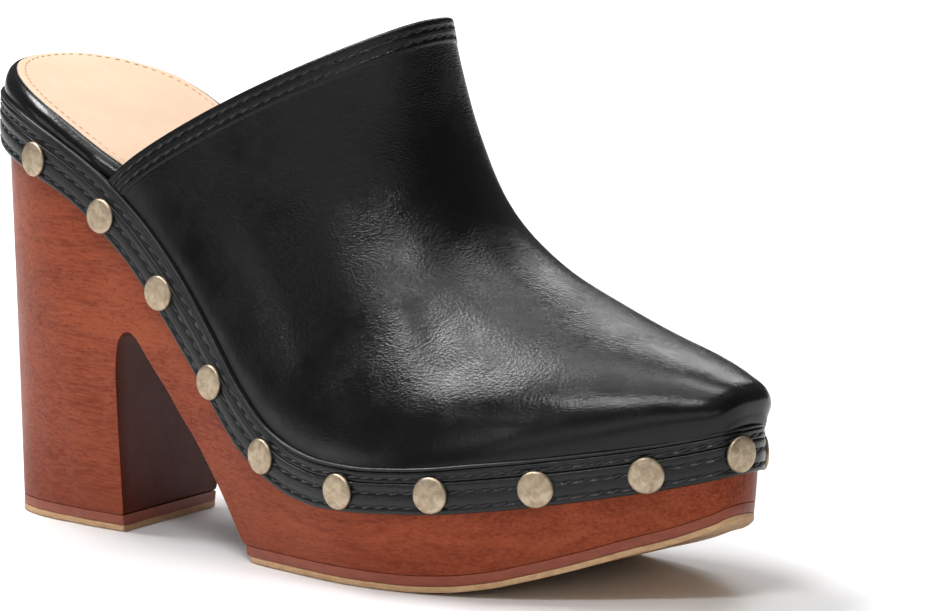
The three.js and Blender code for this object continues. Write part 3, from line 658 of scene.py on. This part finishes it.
def build_layer(name, mat, h0, h1, part, round_r=0.22, grow=0.0):
    """A tread layer, h0 to h1 above the ground line, under the heel or the forepart."""
    n = 150
    cols = []
    for side in (0, 1):
        u = np.linspace(0, 1, n)
        if part == "heel":
            sx = np.array(breast_of_z(h0 * 0.5 + h1 * 0.5))
            s = station_for(sx, side, np.array(h1))
            for _ in range(4):
                y = wall(s, side, np.array(h1))[0][..., 1]
                s = station_for(sx + HEEL_SKEW * (y + 21.6), side, np.array(h1))
            c = (1 - np.cos(np.pi * u / 2)); S = X0 + (float(s) - X0) * c
            g = np.zeros(n)
        else:
            x0 = float(shank_of_z((h0 + h1) / 2))
            s0 = float(station_for(np.array(x0), side, np.array(h1)))
            c = np.sin(np.pi * u / 2); S = s0 + (X1 - s0) * c
            g = ground_z(np.maximum(S, 126.0))
        z0, z1 = g + h0, g + h1
        pts = []
        def at(z, inn):
            W, N = wall(S, side, z)
            W = W.copy(); W[:, :2] += N * (grow - inn)
            return W
        r = round_r
        pts.append(at(z1, 0.35)); pts.append(at(z1 - 0.06, 0.1)); pts.append(at(z1 - 0.3, 0.0))
        pts.append(at(z0 + r + 0.15, 0.0))
        for k in (0.3, 0.6, 1.0):
            pts.append(at(z0 + r * (1 - k) ** 2, r * k ** 1.6))
        pts.append(at(z0, r + 1.5))
        cols.append(pts)
    A, B = cols
    mid = [A[-1] + (B[-1] - A[-1]) * t for t in np.linspace(0, 1, 8)[1:-1]]
    top = [B[0] + (A[0] - B[0]) * t for t in np.linspace(0, 1, 6)[1:-1]]
    G = np.stack(A + mid + B[::-1] + top, 1)
    Rn, Cn = G.shape[:2]
    f = grid_faces(Rn, Cn, wrap_c=True)
    # close the straight end
    end = (Rn - 1) * Cn if part == "heel" else 0
    f.append([end + k for k in range(Cn)])
    return make(name, G.reshape(-1, 3), f, mat, sharp=50)


for nm, node, mat, a, b_, part, slot in (
        ("heel_top_tread", "heel_top_piece", M_TAN, 0.0, TAN_T, "heel", "outsole_tan"),
        ("heel_lift_layer", "heel_lift", M_MID, TAN_T + 0.02, TAN_T + MID_T, "heel", "sole_edge_brown"),
        ("forepart_tread", "forepart_outsole", M_TAN, 0.0, TAN_T, "fore", "outsole_tan"),
        ("forepart_edge_layer", "forepart_midsole", M_MID, TAN_T + 0.02, TAN_T + MID_T, "fore", "sole_edge_brown")):
    o = build_layer(nm, mat, a, b_, part, grow=0.12 if "tread" in nm else 0.0)
    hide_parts(node)

# ------------------------------------------------------------------ rand
def ring(n):
    """n points evenly spaced round the outline, with normals."""
    Q = np.vstack([DENSE, DENSE[:1]]); L = np.r_[0, np.cumsum(np.linalg.norm(np.diff(Q, axis=0), axis=1))]
    t = np.linspace(0, L[-1], n, endpoint=False)
    P = np.stack([np.interp(t, L, Q[:, k]) for k in (0, 1)], 1)
    NN = np.vstack([DN, DN[:1]])
    N = np.stack([np.interp(t, L, NN[:, k]) for k in (0, 1)], 1)
    return P, N / np.linalg.norm(N, axis=1)[:, None], L[-1]


def sweep(name, profile, mat, n=1100, wobble=0.0, seed=1):
    """Closed band round the shoe. profile: (height fraction, outward offset) from the rand's lower edge to its top edge."""
    P, N, L = ring(n)
    x = P[:, 0]
    rows = []
    for k, (f, o) in enumerate(profile):
        oo = np.full(n, o, float)
        if wobble and o > -1.2:
            q = np.column_stack([P, np.full(n, 6.0 * f)])
            oo = oo + wobble * value_noise(q, 7.0, seed) + 0.5 * wobble * value_noise(q, 2.6, seed + 1)
        xy = P + N * oo[:, None]
        lo, hi = rand_low(xy[:, 0]), rand_top(xy[:, 0])
        rows.append(np.column_stack([xy, lo + (hi - lo) * f]))
    G = np.stack(rows, 1)
    return make(name, G.reshape(-1, 3), grid_faces(n, len(profile), wrap_r=True, wrap_c=True), mat, sharp=60)


ROW = (0.150, 0.475, 0.815)          # heights of the three stitch rows
RT = -RAND_T


def groove(c, w, depth, base):
    return [(c - w, base - 0.04), (c - 0.6 * w, base - 0.35 * depth), (c - 0.25 * w, base - 0.9 * depth), (c, base - depth), (c + 0.25 * w, base - 0.9 * depth), (c + 0.6 * w, base - 0.35 * depth), (c + w, base - 0.04)]


lower_profile = [(0.0, RT), (-0.005, -0.7), (0.002, -0.32), (0.025, -0.10), (0.055, -0.03)] + groove(ROW[0], 0.062, 0.42, 0.0) + [(0.26, 0.05), (0.32, 0.08), (0.37, 0.05)] + groove(ROW[1], 0.062, 0.42, 0.0) + [(0.58, 0.05), (0.625, 0.05), (0.66, -0.02), (0.685, -0.16), (0.697, -0.42), (0.70, -0.8), (0.70, RT)]
upper_profile = [(0.705, RT), (0.705, -0.85), (0.708, -0.52), (0.722, -0.30), (0.745, -0.20)] + groove(ROW[2], 0.058, 0.36, -0.18) + [(0.90, -0.20), (0.935, -0.30), (0.948, -0.50), (0.956, -0.72), (0.962, -0.50), (0.972, -0.32), (0.990, -0.22), (1.010, -0.22), (1.028, -0.34), (1.040, -0.58), (1.044, -0.9), (1.03, RT)]
rand_lo = sweep("rand_strip", lower_profile, M_RAND, wobble=0.055, seed=3)
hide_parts("rand_lower")
rand_hi = sweep("rand_piping_strip", upper_profile, M_RAND, wobble=0.045, seed=5)
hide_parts("rand_piping")


def stitch_row(name, path, out, mat, pitch, length, rad, lift=0.0, closed=True, slant=0.0, side=None, seed=11, squash=1.0):
    """Threads lying along a path: path and outward normals in mm."""
    path = np.asarray(path); out = np.asarray(out)
    if closed:
        path = np.vstack([path, path[:1]]); out = np.vstack([out, out[:1]])
    d = np.r_[0, np.cumsum(np.linalg.norm(np.diff(path, axis=0), axis=1))]
    total = d[-1]
    cnt = int(total // pitch); step = total / cnt
    rng = np.random.default_rng(seed)
    verts, faces = [], []
    prof = [(0.0, 0.25, -0.9), (0.08, 0.7, -0.35), (0.25, 1.0, 0.0), (0.5, 1.05, 0.15), (0.75, 1.0, 0.0), (0.92, 0.7, -0.35), (1.0, 0.25, -0.9)]
    NS = 7
    at = lambda t, arr: np.array([np.interp(t % total if closed else min(max(t, 0), total), d, arr[:, k]) for k in range(3)])
    for i in range(cnt):
        s0 = (i + 0.5) * step - length / 2 + rng.uniform(-0.06, 0.06) * pitch
        tilt = slant * (1 if True else -1) + rng.uniform(-0.06, 0.06)
        base = len(verts)
        for f, rr, dz in prof:
            t = s0 + f * length
            c, nrm = at(t, path), at(t, out)
            nrm /= np.linalg.norm(nrm)
            tan = at(t + 0.2, path) - at(t - 0.2, path); tan /= np.linalg.norm(tan)
            bi = np.cross(nrm, tan)
            c = c + nrm * (lift + dz * rad * 1.3) + bi * (f - 0.5) * tilt * 2 * rad
            for k in range(NS):
                a = 2 * math.pi * k / NS
                verts.append(c + (nrm * math.cos(a) * squash + bi * math.sin(a)) * rad * rr)
        m = len(prof)
        for a in range(m - 1):
            for k in range(NS):
                k2 = (k + 1) % NS
                faces.append([base + a*NS + k, base + a*NS + k2, base + (a+1)*NS + k2, base + (a+1)*NS + k])
        faces.append([base + k for k in range(NS)][::-1])
        faces.append([base + (m-1)*NS + k for k in range(NS)])
    return make(name, verts, faces, mat, merge=False)


P, N, L = ring(2200)
for k, f in enumerate(ROW):
    base = {0: -0.40, 1: -0.40, 2: -0.52}[k]
    xy = P + N * base
    lo, hi = rand_low(xy[:, 0]), rand_top(xy[:, 0])
    path = np.column_stack([xy, lo + (hi - lo) * f])
    st = stitch_row(f"rand_stitches_{k + 1}", path, np.column_stack([N, np.zeros(len(N))]), M_THREAD, 3.9, 3.3, 0.33, lift=0.10, slant=0.9, seed=20 + k)

# ------------------------------------------------------------------ studs
def stud_positions():
    def idx(x):
        ids = _lat
        k = int(np.searchsorted(np.maximum.accumulate(DENSE[ids, 0]), x))
        return ids[min(k, len(ids) - 1)]
    arc = np.r_[0, np.cumsum(np.linalg.norm(np.diff(np.vstack([DENSE, DENSE[:1]]), axis=0), axis=1))]
    cand = [i for i in range(ND) if DENSE[i, 0] > 200]
    toe = min(cand, key=lambda i: abs(DENSE[i, 1]))
    lat = [idx(x) for x in STUD_X_LAT]
    med = []
    for i in lat:
        s = arc[toe] + (arc[toe] - arc[i]) * 0.985
        med.append(min(int(np.searchsorted(arc, s)), ND - 1))
    out = []
    for k, i in enumerate(lat + [toe] + med[::-1]):
        p, n = DENSE[i], DN[i]
        up = STUD_UP[18 - k if k > 9 else k]
        slope = (rand_low(p[0] + 1) - rand_low(p[0] - 1)) / 2 * abs(n[1])
        out.append((p, n, float(rand_low(p[0]) + up * math.hypot(1, slope))))
    return out


def build_stud(k, p, n, z):
    R = 4.3
    prof = [(0.0, 1.22), (0.6, 1.217), (1.3, 1.20), (2.0, 1.165), (2.7, 1.11), (3.2, 1.05), (3.6, 0.98), (3.85, 0.91), (4.05, 0.80), (4.22, 0.62), (4.32, 0.40), (4.36, 0.16), (4.33, -0.04), (4.2, -0.13), (3.8, -0.15), (0.0, -0.15)]
    SEG = 56
    rng = np.random.default_rng(100 + k)
    verts = []
    for r, h in prof:
        for j in range(SEG):
            a = 2 * math.pi * j / SEG
            verts.append((r * math.cos(a), r * math.sin(a), h))
    V = np.array(verts)
    V[:, 2] += np.where(V[:, 2] > 0.1, 0.05 * value_noise(V + 37.0 * k, 2.2, 40 + k), 0)
    V[:, :2] *= 1 + 0.012 * value_noise(np.column_stack([V[:, :2] / (np.linalg.norm(V[:, :2], axis=1)[:, None] + 1e-6) * 4, np.full(len(V), 5.0 * k)]), 3.0, 60 + k)[:, None]
    ob = make(f"stud_head_{k + 1:02d}", V, grid_faces(len(prof), SEG, wrap_c=True), M_STUD, row=False, sharp=75)
    Z = Vector((n[0], n[1], 0.0)).normalized()
    X = Vector((-n[1], n[0], 0)).normalized()
    spin = Matrix.Rotation(rng.uniform(0, 6.28), 4, "Z")
    tilt = Matrix.Rotation(rng.uniform(-0.03, 0.03), 4, "X") @ Matrix.Rotation(rng.uniform(-0.03, 0.03), 4, "Y")
    Mx = Matrix((X, Z.cross(X), Z)).transposed().to_4x4()
    loc = ((p[0] + n[0] * 0.12 + OX) / 1000, (p[1] + n[1] * 0.12 + OY) / 1000, z / 1000)
    ob.matrix_world = Matrix.Translation(loc) @ Mx @ tilt @ spin
    return ob


for k, (p, n, z) in enumerate(stud_positions()):
    o = build_stud(k, p, n, z)
    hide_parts(f"stud_{k + 1:02d}")

# ------------------------------------------------------------------ footbed
inner_extra = pchip([0, 56, 70, 240], [0.0, 0.0, 3.6, 3.6])


def build_cushion():
    n = 260
    s = cos_stations(n)
    prof = [(1.95, -0.14), (1.6, 0.0), (1.38, 0.13), (1.35, 0.30), (1.5, 0.48), (1.85, 0.65), (2.4, 0.80), (3.1, 0.91), (3.8, 0.97), (4.4, 0.985), (4.9, 0.93), (5.2, 0.80)]
    cols = []
    for side in (0, 1):
        pts = []
        p0 = outline_at(s, side)[0][:, 0]
        for d, h in prof:
            xy = inset_at(s, side, d + inner_extra(p0))
            lo, hi = rand_top(xy[:, 0]) - 0.2, insole_z(xy[:, 0]) + 0.15
            q = np.column_stack([xy, lo + (hi - lo) * h])
            w = 0.16 * value_noise(q, 9.0, 71) + 0.07 * value_noise(q, 3.5, 72)
            nn = outline_at(s, side)[1]
            q[:, :2] += nn * (w * (0.2 if h < 0 or d > 4.6 else 1.0))[:, None]
            pts.append(q)
        cols.append(pts)
    A, B = cols
    top = [A[-1] + (B[-1] - A[-1]) * t - np.array([0, 0, 1.9]) for t in np.linspace(0.02, 0.98, 8)]
    bot = [B[0] + (A[0] - B[0]) * t for t in np.linspace(0, 1, 6)[1:-1]]
    G = np.stack(A + top + B[::-1] + bot, 1)
    return make("footbed_wrap", G.reshape(-1, 3), grid_faces(G.shape[0], G.shape[1], wrap_c=True), M_WRAP, sharp=70)


cushion = build_cushion()
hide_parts("footbed_cushion")


def sock_z(x, y, w):
    """Cupped top of the sock; w is -1 to 1 across."""
    f = np.clip((x - 12) / 16, 0, 1)
    return insole_z(x) + 0.30 - 1.1 * f * f * (3 - 2 * f) * (1 - np.abs(w) ** 2.6)


def build_sock():
    n, m = 240, 40
    s = cos_stations(n)
    E = []
    for side in (0, 1):
        p0 = outline_at(s, side)[0][:, 0]
        E.append(inset_at(s, side, 4.75 + inner_extra(p0)))
    t = np.linspace(-1, 1, m)
    tt = np.sign(t) * np.abs(t) ** 0.8
    top = np.zeros((n, m, 3))
    for j, w in enumerate(tt):
        xy = E[0] + (E[1] - E[0]) * (w + 1) / 2
        z = sock_z(xy[:, 0], xy[:, 1], w)
        top[:, j] = np.column_stack([xy, z])
    top[..., 2] += 0.10 * value_noise(top, 16.0, 81) + 0.04 * value_noise(top, 5.0, 82)
    # rounded edge, then a flat underside
    edge = []
    for side in (0, 1):
        nn = outline_at(s, side)[1]
        c = top[:, 0 if side == 0 else -1]
        ring_pts = []
        for o, dz in ((0.16, -0.06), (0.26, -0.2), (0.26, -0.45), (0.1, -0.8)):
            q = c.copy(); q[:, :2] += nn * o; q[:, 2] += dz
            ring_pts.append(q)
        edge.append(ring_pts)
    A, B = edge[0][::-1], edge[1]
    und = [B[-1] + (A[0] - B[-1]) * k for k in np.linspace(0, 1, 6)[1:-1]]
    und = [u - np.array([0, 0, 0.6]) for u in und]
    loop = A + [top[:, j] for j in range(m)] + B + und
    G = np.stack(loop, 1)
    return make("insole_sock_leather", G.reshape(-1, 3), grid_faces(G.shape[0], G.shape[1], wrap_c=True), M_SOCK, sharp=70)


sock = build_sock()
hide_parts("insole_sock")

# stitches round the sock
_P, _N, _L = ring(2400)
_ext = inner_extra(_P[:, 0])
_xy = _P - _N * (4.75 + 1.75 + _ext)[:, None]
_w = 0.93
_z = sock_z(_xy[:, 0], _xy[:, 1], _w) - 0.02
_path = np.column_stack([_xy, _z])
st = stitch_row("sock_stitches", _path, np.tile([0.12, 0, 0.99], (len(_path), 1)), M_THREAD_TAN, 2.5, 1.7, 0.17, lift=0.0, slant=0.3, seed=31)

# ------------------------------------------------------------------ upper
UPPER_ROWS = np.array([
  [228.4,227.6,230.0,5.6,39.8,2.8,1], [227.6,226.8,230.7,5.6,43.4,2.8,1], [225.4,224.4,230.4,5.6,46.8,2.8,1],
  [221.6,220.8,227.8,6.0,49.8,2.7,1], [214.5,214,220.8,6.6,52.6,2.5,1], [203,203,209.4,7.5,55.8,2.4,1],
  [188,188,194.6,8.5,59.6,2.3,1], [170,170,176.2,10.5,65.4,2.25,1], [152,152,158.6,12.2,73.2,2.2,1],
  [133,132,147.0,13.0,83.0,2.2,1.05], [112,110,140.2,12.4,95.6,2.25,1.15], [90,87,136.4,10.6,111,2.33,1.25],
  [62.8,60,134.6,7.6,130.5,2.4,1.34]], float)
_k = np.arange(len(UPPER_ROWS))
ROWF = [pchip(_k, UPPER_ROWS[:, c]) for c in range(7)]
BASE_IN = 1.35
BASE_DROP = 1.2


def upper_point(S, PH):
    S, PH = np.broadcast_arrays(np.asarray(S, float), np.asarray(PH, float))
    k = np.clip(S, 0, 1) * (len(UPPER_ROWS) - 1)
    xl, xm, xr, yr, zr, n, p = [f(k) for f in ROWF]
    Lp = inset_at(xl, 0, np.full(xl.shape, BASE_IN)); Qp = inset_at(xm, 1, np.full(xm.shape, BASE_IN))
    zL, zQ = rand_top(Lp[..., 0]) - BASE_DROP, rand_top(Qp[..., 0]) - BASE_DROP
    th = np.pi * PH; co, si = np.cos(th), np.abs(np.sin(th))
    c = (1 - np.sign(co) * np.abs(co) ** (2 / n)) / 2
    h = si ** (2 / n)
    mx, my, mz = (Lp[..., 0] + Qp[..., 0]) / 2, (Lp[..., 1] + Qp[..., 1]) / 2, (zL + zQ) / 2
    return np.stack([Lp[..., 0] + (Qp[..., 0] - Lp[..., 0]) * c + (xr - mx) * h ** p,
                     Lp[..., 1] + (Qp[..., 1] - Lp[..., 1]) * c + (yr - my) * h,
                     zL + (zQ - zL) * c + (zr - mz) * h], -1)


NPH = 170
_ph = np.linspace(0, 1, NPH)
PHI = _ph + 0.0
# even spacing along the section: superellipse ends need finer steps
PHI = 0.5 - 0.5 * np.cos(np.pi * _ph) * (0.72 + 0.28 * np.abs(np.cos(np.pi * _ph)) ** 0.5)
PHI = (PHI - PHI[0]) / (PHI[-1] - PHI[0])
SD = np.linspace(0, 1, 700)
DENSE_U = upper_point(SD[:, None], PHI[None, :])           # (700, NPH, 3)
seg = np.linalg.norm(np.diff(DENSE_U, axis=0), axis=2)
from_top = np.vstack([np.cumsum(seg[::-1], axis=0)[::-1], np.zeros((1, NPH))])     # distance along s from the topline
tan_f = np.gradient(DENSE_U[-1], axis=0); tan_f /= np.linalg.norm(tan_f, axis=1)[:, None]
tan_s = DENSE_U[-1] - DENSE_U[-8]; tan_s /= np.linalg.norm(tan_s, axis=1)[:, None]
sin_a = np.sqrt(np.clip(1 - np.sum(tan_f * tan_s, axis=1) ** 2, 0.15, 1))


def s_at(dist):
    """Parameter s at a distance in mm square to the topline, per column."""
    return np.array([np.interp(-dist / sin_a[j], -from_top[:, j], SD) for j in range(NPH)])


BAND_D = [0.0, 0.35, 0.8, 1.2, 1.45, 1.65, 1.85, 2.1, 2.5, 3.0, 3.5, 3.8, 4.0, 4.2, 4.5, 4.9, 5.2, 5.4, 5.55, 5.75, 6.1, 6.7]
band_s = [s_at(d) for d in BAND_D]
s_low = s_at(7.6)
NLOW = 150
fr = np.linspace(0, 1, NLOW)
fr = fr * 0.75 + 0.25 * (1 - np.cos(np.pi * fr / 2))       # finer at the toe
rows_s = [s_low * f for f in fr] + [b for b in band_s[::-1]]
dist_rows = [None] * NLOW + BAND_D[::-1]
SG = np.array(rows_s)                                      # rows x NPH
UP = np.stack([upper_point(SG[:, j], np.full(len(SG), PHI[j])) for j in range(NPH)], 1)


def grid_normals(G):
    du = np.gradient(G, axis=0); dv = np.gradient(G, axis=1)
    n = np.cross(dv, du)
    l = np.linalg.norm(n, axis=2, keepdims=True)
    n = n / np.maximum(l, 1e-9)
    # outward: away from the inside of the shoe
    ctr = np.array([150.0, 3.0, 45.0])
    if np.sum(n * (G - ctr)) < 0:
        n = -n
    return n


UN = grid_normals(UP)
for _ in range(2):
    UN[1:-1] = (UN[:-2] + 2 * UN[1:-1] + UN[2:]); UN /= np.linalg.norm(UN, axis=2, keepdims=True)
# the folded topline band stands proud of the vamp, and its stitch rows pull it in
def band_height(d):
    if d is None or d >= 5.75:
        return 0.0
    h = 0.26
    if d > 5.2:
        h *= max(0.0, 1 - (d - 5.2) / 0.45)
    for c in (1.65, 4.0):
        h -= 0.32 * math.exp(-((d - c) / 0.34) ** 2)
    if d < 0.8:
        h -= 0.12 * (1 - d / 0.8) ** 2
    return h


lift = np.array([band_height(d) for d in dist_rows])
OUTER = UP + UN * lift[:, None, None]
# soft unevenness of lasted leather
amp = np.clip((OUTER[..., 2] - rand_top(np.clip(OUTER[..., 0], 0, 232)) ) / 12.0, 0, 1)
OUTER = OUTER + UN * (amp * (0.34 * value_noise(OUTER, 27.0, 91) + 0.035 * value_noise(OUTER, 11.0, 92)))[..., None]


# soft creases pressed in by the foot's flexing: centre line in the side view plane, half width, depth
def side_view(P):
    """Position in a plane square to the three-quarter view, in quarter millimetres."""
    d = P - np.array([120.0, 0, 70.0]) - (np.array(cb) * DIST + np.array(cr) * TX + np.array(cu) * TY)
    w = -(d @ np.array(cb))
    return np.stack([473.5 + (d @ np.array(cr)) / w * FPX, 305.5 - (d @ np.array(cu)) / w * FPX], -1)


def line_distance(Q, line):
    """Distance from a line, positive on the toe side, and the share of its length passed."""
    best = np.full(Q.shape[:-1], 1e9); along = np.zeros(Q.shape[:-1]); side = np.ones(Q.shape[:-1])
    line = np.array(line, float); L = np.r_[0, np.cumsum(np.linalg.norm(np.diff(line, axis=0), axis=1))]
    for k in range(len(line) - 1):
        a, b_ = line[k], line[k + 1]; ab = b_ - a
        t = np.clip(((Q - a) @ ab) / (ab @ ab), 0, 1)
        v = Q - (a + t[..., None] * ab)
        d = np.linalg.norm(v, axis=-1)
        m = d < best
        best = np.where(m, d, best); along = np.where(m, (L[k] + t * np.linalg.norm(ab)) / L[-1], along)
        side = np.where(m, np.sign(ab[1] * v[..., 0] - ab[0] * v[..., 1]), side)
    return best * side, along


# centre line, width on the heel side and on the toe side, depth
CREASES = [
    ([(200, 158), (236, 205), (258, 245), (280, 285), (297, 330), (318, 385), (346, 428)], 18, 40, 1.25),
    ([(404, 262), (424, 300), (436, 338), (440, 368), (436, 404)], 15, 36, 1.05),
    ([(436, 402), (470, 411), (520, 414), (570, 410)], 8, 8, 0.25),
    ([(368, 150), (378, 230), (372, 300)], 26, 30, 0.45),
    ([(470, 250), (520, 320), (560, 350)], 16, 22, 0.3),
]
_up = np.clip(OUTER[..., 2] - rand_top(np.clip(OUTER[..., 0], 0, 232)) + 1.0, 0, None)
_side = np.clip((SG / 1.0 - 0.10) / 0.12, 0, 1)
OUTER = OUTER + UN * (1.35 * (1 - np.exp(-_up / 3.8)) * np.exp(-_up / 20.0) * _side)[..., None]
SV = side_view(OUTER)
front_half = np.clip((0.66 - PHI) / 0.08, 0, 1)[None, :]
for _line, _w0, _w1, _dep in CREASES:
    _d, _al = line_distance(SV, _line)
    _fade = np.clip(np.minimum(_al, 1 - _al) / 0.3, 0, 1); _fade = _fade * _fade * (3 - 2 * _fade)
    _w = np.where(_d > 0, _w1, _w0)
    OUTER = OUTER - UN * (_dep * np.exp(-0.5 * (_d / _w) ** 2) * _fade * front_half * amp)[..., None]
ABOVE = OUTER[..., 2] - rand_top(np.clip(OUTER[..., 0], 0, 232))


def grain_amount(P):
    """How open the grain is: closed along the rand and the toe, open over the instep and near the topline."""
    up = P[..., 2] - rand_top(np.clip(P[..., 0], 0, 232))
    k = np.clip((up - 5.0) / 14.0, 0, 1); k = k * k * (3 - 2 * k)
    toe = np.clip((222 - P[..., 0]) / 45.0, 0, 1)
    rear = np.clip((P[..., 0] - 66) / 26.0, 0, 1)
    return np.clip(0.16 + 0.84 * k * (0.45 + 0.55 * toe) * (0.35 + 0.65 * rear), 0, 1)


def build_upper():
    R, C = OUTER.shape[:2]
    T_OUT = 1.5
    # rim: rolls over the top from the outer face to the inside
    top, tn = OUTER[-1], UN[-1]
    along = OUTER[-1] - OUTER[-4]; along /= np.linalg.norm(along, axis=1)[:, None]
    along -= tn * np.sum(along * tn, axis=1)[:, None]; along /= np.linalg.norm(along, axis=1)[:, None]
    thick = T_OUT + 0.35
    rim = []
    for a in np.linspace(20, 160, 7):
        th = math.radians(a)
        rim.append(top + tn * (-thick / 2 + math.cos(th) * thick / 2) + along * (math.sin(th) * 0.55))
    inner_rows = [9, 24] 
    inner = []
    for q in (1, 6, 12, 21):
        inner.append(OUTER[-1 - q] - UN[-1 - q] * thick)
    base_in = OUTER - UN * thick
    skirt = OUTER[0] - np.array([0, 0, 2.6])
    rows = [skirt] + [OUTER[i] for i in range(R)] + rim + [base_in[i] for i in list(range(R - 2, R - 22, -3)) + list(range(R - 24, 0, -3)) + [0]] + [base_in[0] - np.array([0, 0, 2.6])]
    G = np.stack(rows, 0)
    # tuck the bottom edges under the rand's bead
    return G


G = build_upper()
f = grid_faces(G.shape[0], G.shape[1])
# close the bottom edges: first row to last row
R, C = G.shape[:2]
V = G.reshape(-1, 3)
f += [[(R-1)*C + j, (R-1)*C + j + 1, j + 1, j] for j in range(C - 1)]
upper = make("upper_vamp_leather", V, f, M_UPPER, sharp=None)
_co = np.zeros(len(upper.data.vertices) * 3)
upper.data.vertices.foreach_get("co", _co)
_co = _co.reshape(-1, 3) * 1000 - np.array([OX, OY, 0])
upper.data.attributes.new("grain", "FLOAT", "POINT").data.foreach_set("value", grain_amount(_co).astype(np.float32))
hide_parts("upper_vamp")


def build_lining():
    t0, t1 = 1.95, 2.8
    idx_rows = list(range(0, OUTER.shape[0] - 3, 3)) + [OUTER.shape[0] - 3]
    base = OUTER - UN * lift[:, None, None]
    A = [base[i] - UN[i] * t0 for i in idx_rows]
    B = [base[i] - UN[i] * t1 for i in idx_rows]
    tip = (A[-1] + B[-1]) / 2
    along = base[-1] - base[-5]; along /= np.linalg.norm(along, axis=1)[:, None]
    tip = tip + along * 0.35
    G = np.stack(A + [tip] + B[::-1], 0)
    f = grid_faces(G.shape[0], G.shape[1])
    R, C = G.shape[:2]
    f += [[(R-1)*C + j, (R-1)*C + j + 1, j + 1, j] for j in range(C - 1)]
    return make("upper_lining_leather", G.reshape(-1, 3), f, M_LINING, sharp=None)


lining = build_lining()
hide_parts("upper_lining")

# topline stitches
for k, dd in enumerate((1.65, 4.0)):
    ss = s_at(dd)
    pth = np.array([upper_point(ss[j], PHI[j]) for j in range(NPH)])
    ii = len(SG) - 1 - BAND_D.index(dd)
    pth = OUTER[ii]
    nn = UN[ii]
    st = stitch_row(f"topline_stitches_{k + 1}", pth[2:-2], nn[2:-2], M_THREAD, 3.3, 2.7, 0.27, lift=0.05, closed=False, slant=0.8, seed=51 + k)

# ------------------------------------------------------------------ CAD pieces that stay
def dress(node, mat):
    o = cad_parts[node]
    if not o.material_slots:
        o.data.materials.append(mat)
    for s in o.material_slots:
        s.material = mat


dress("insole_board", M_BOARD)
dress("toe_puff", M_PUFF)
for k in range(1, 5):
    dress(f"heel_nail_{k}", M_NAIL)

# ------------------------------------------------------------------ stage and light
def stage_plane():
    me = bpy.data.meshes.new("floor")
    a = 6.0
    me.from_pydata([(-a, -a, 0), (a, -a, 0), (a, a, 0), (-a, a, 0)], [], [(0, 1, 2, 3)])
    ob = bpy.data.objects.new("floor", me)
    bpy.context.scene.collection.objects.link(ob)
    ob.location.z = -0.0002
    m, nt, b = new_mat("floor_paper")
    t = NT(nt)
    nz = t.noise(t.tc.outputs["Object"], 40, 3, 0.5)
    t.link(t.mix(nz, (0.86, 0.86, 0.86), (0.88, 0.88, 0.88)), b.inputs["Base Color"])
    b.inputs["Roughness"].default_value = 0.55
    me.materials.append(m)
    ob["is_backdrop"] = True
    return ob


floor = stage_plane()


def area(name, loc, target, size, power, color=(1, 1, 1), size_y=None):
    l = bpy.data.lights.new(name, "AREA")
    l.energy = power; l.color = color
    l.shape = "RECTANGLE" if size_y else "SQUARE"
    l.size = size
    if size_y:
        l.size_y = size_y
    o = bpy.data.objects.new(name, l)
    bpy.context.scene.collection.objects.link(o)
    d = Vector(target) - Vector(loc)
    o.location = loc
    o.rotation_euler = d.to_track_quat("-Z", "Y").to_euler()
    return o


def cam_space(right, up, toward):
    """A place given from the camera's side: metres to the right, up and towards the camera from the shoe."""
    v = cr * right + Vector((0, 0, 1)) * up + Vector((cb.x, cb.y, 0)).normalized() * toward
    return (v.x, v.y, v.z)


T0 = Vector((0.0, 0.0, 0.06))
FWD = Vector((cb.x, cb.y, 0)).normalized()


def panel(name, az, el, dist, w, h, radiance, spread=180.0, color=(1, 1, 1)):
    """A soft panel facing the shoe. az: degrees right of the camera's side, el: degrees up."""
    a, e = math.radians(az), math.radians(el)
    d = FWD * (math.cos(a) * math.cos(e)) + cr * (math.sin(a) * math.cos(e)) + Vector((0, 0, math.sin(e)))
    o = area(name, T0 + d * dist, T0, w, radiance * math.pi * w * h, color, size_y=h)
    o.data.spread = math.radians(spread)
    return o


panel("key_back_left", -121, 62, 1.15, 0.56, 0.32, 22.0)
panel("overhead", 20, 87, 1.2, 0.55, 0.55, 2.4)
panel("front_strip", -20, 58, 1.15, 0.38, 0.20, 20.0)
panel("left_box", -84, 9, 1.3, 0.70, 0.34, 1.7)
panel("front_left_box", -40, 28, 1.2, 0.24, 0.24, 3.2)
panel("front_box", -2, 13, 1.35, 1.6, 0.38, 1.3)
panel("back_rim", 166, 30, 1.3, 0.5, 0.16, 7.0)
back = area("back_floor", FWD * -2.3 + Vector((0, 0, 1.9)), FWD * -2.3, 3.4, 60.0, size_y=2.6)
back.data.spread = math.radians(70)

world = bpy.data.worlds.new("studio")
bpy.context.scene.world = world
world.use_nodes = True
bg = world.node_tree.nodes["Background"]
bg.inputs[0].default_value = (1, 1, 1, 1)
bg.inputs[1].default_value = 0.10
bpy.context.scene.view_settings.view_transform = "Standard"
bpy.context.scene.view_settings.look = "None"

lo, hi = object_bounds()
{"cad": [CAD_LO, CAD_HI], "visual": [list(lo), list(hi)]}
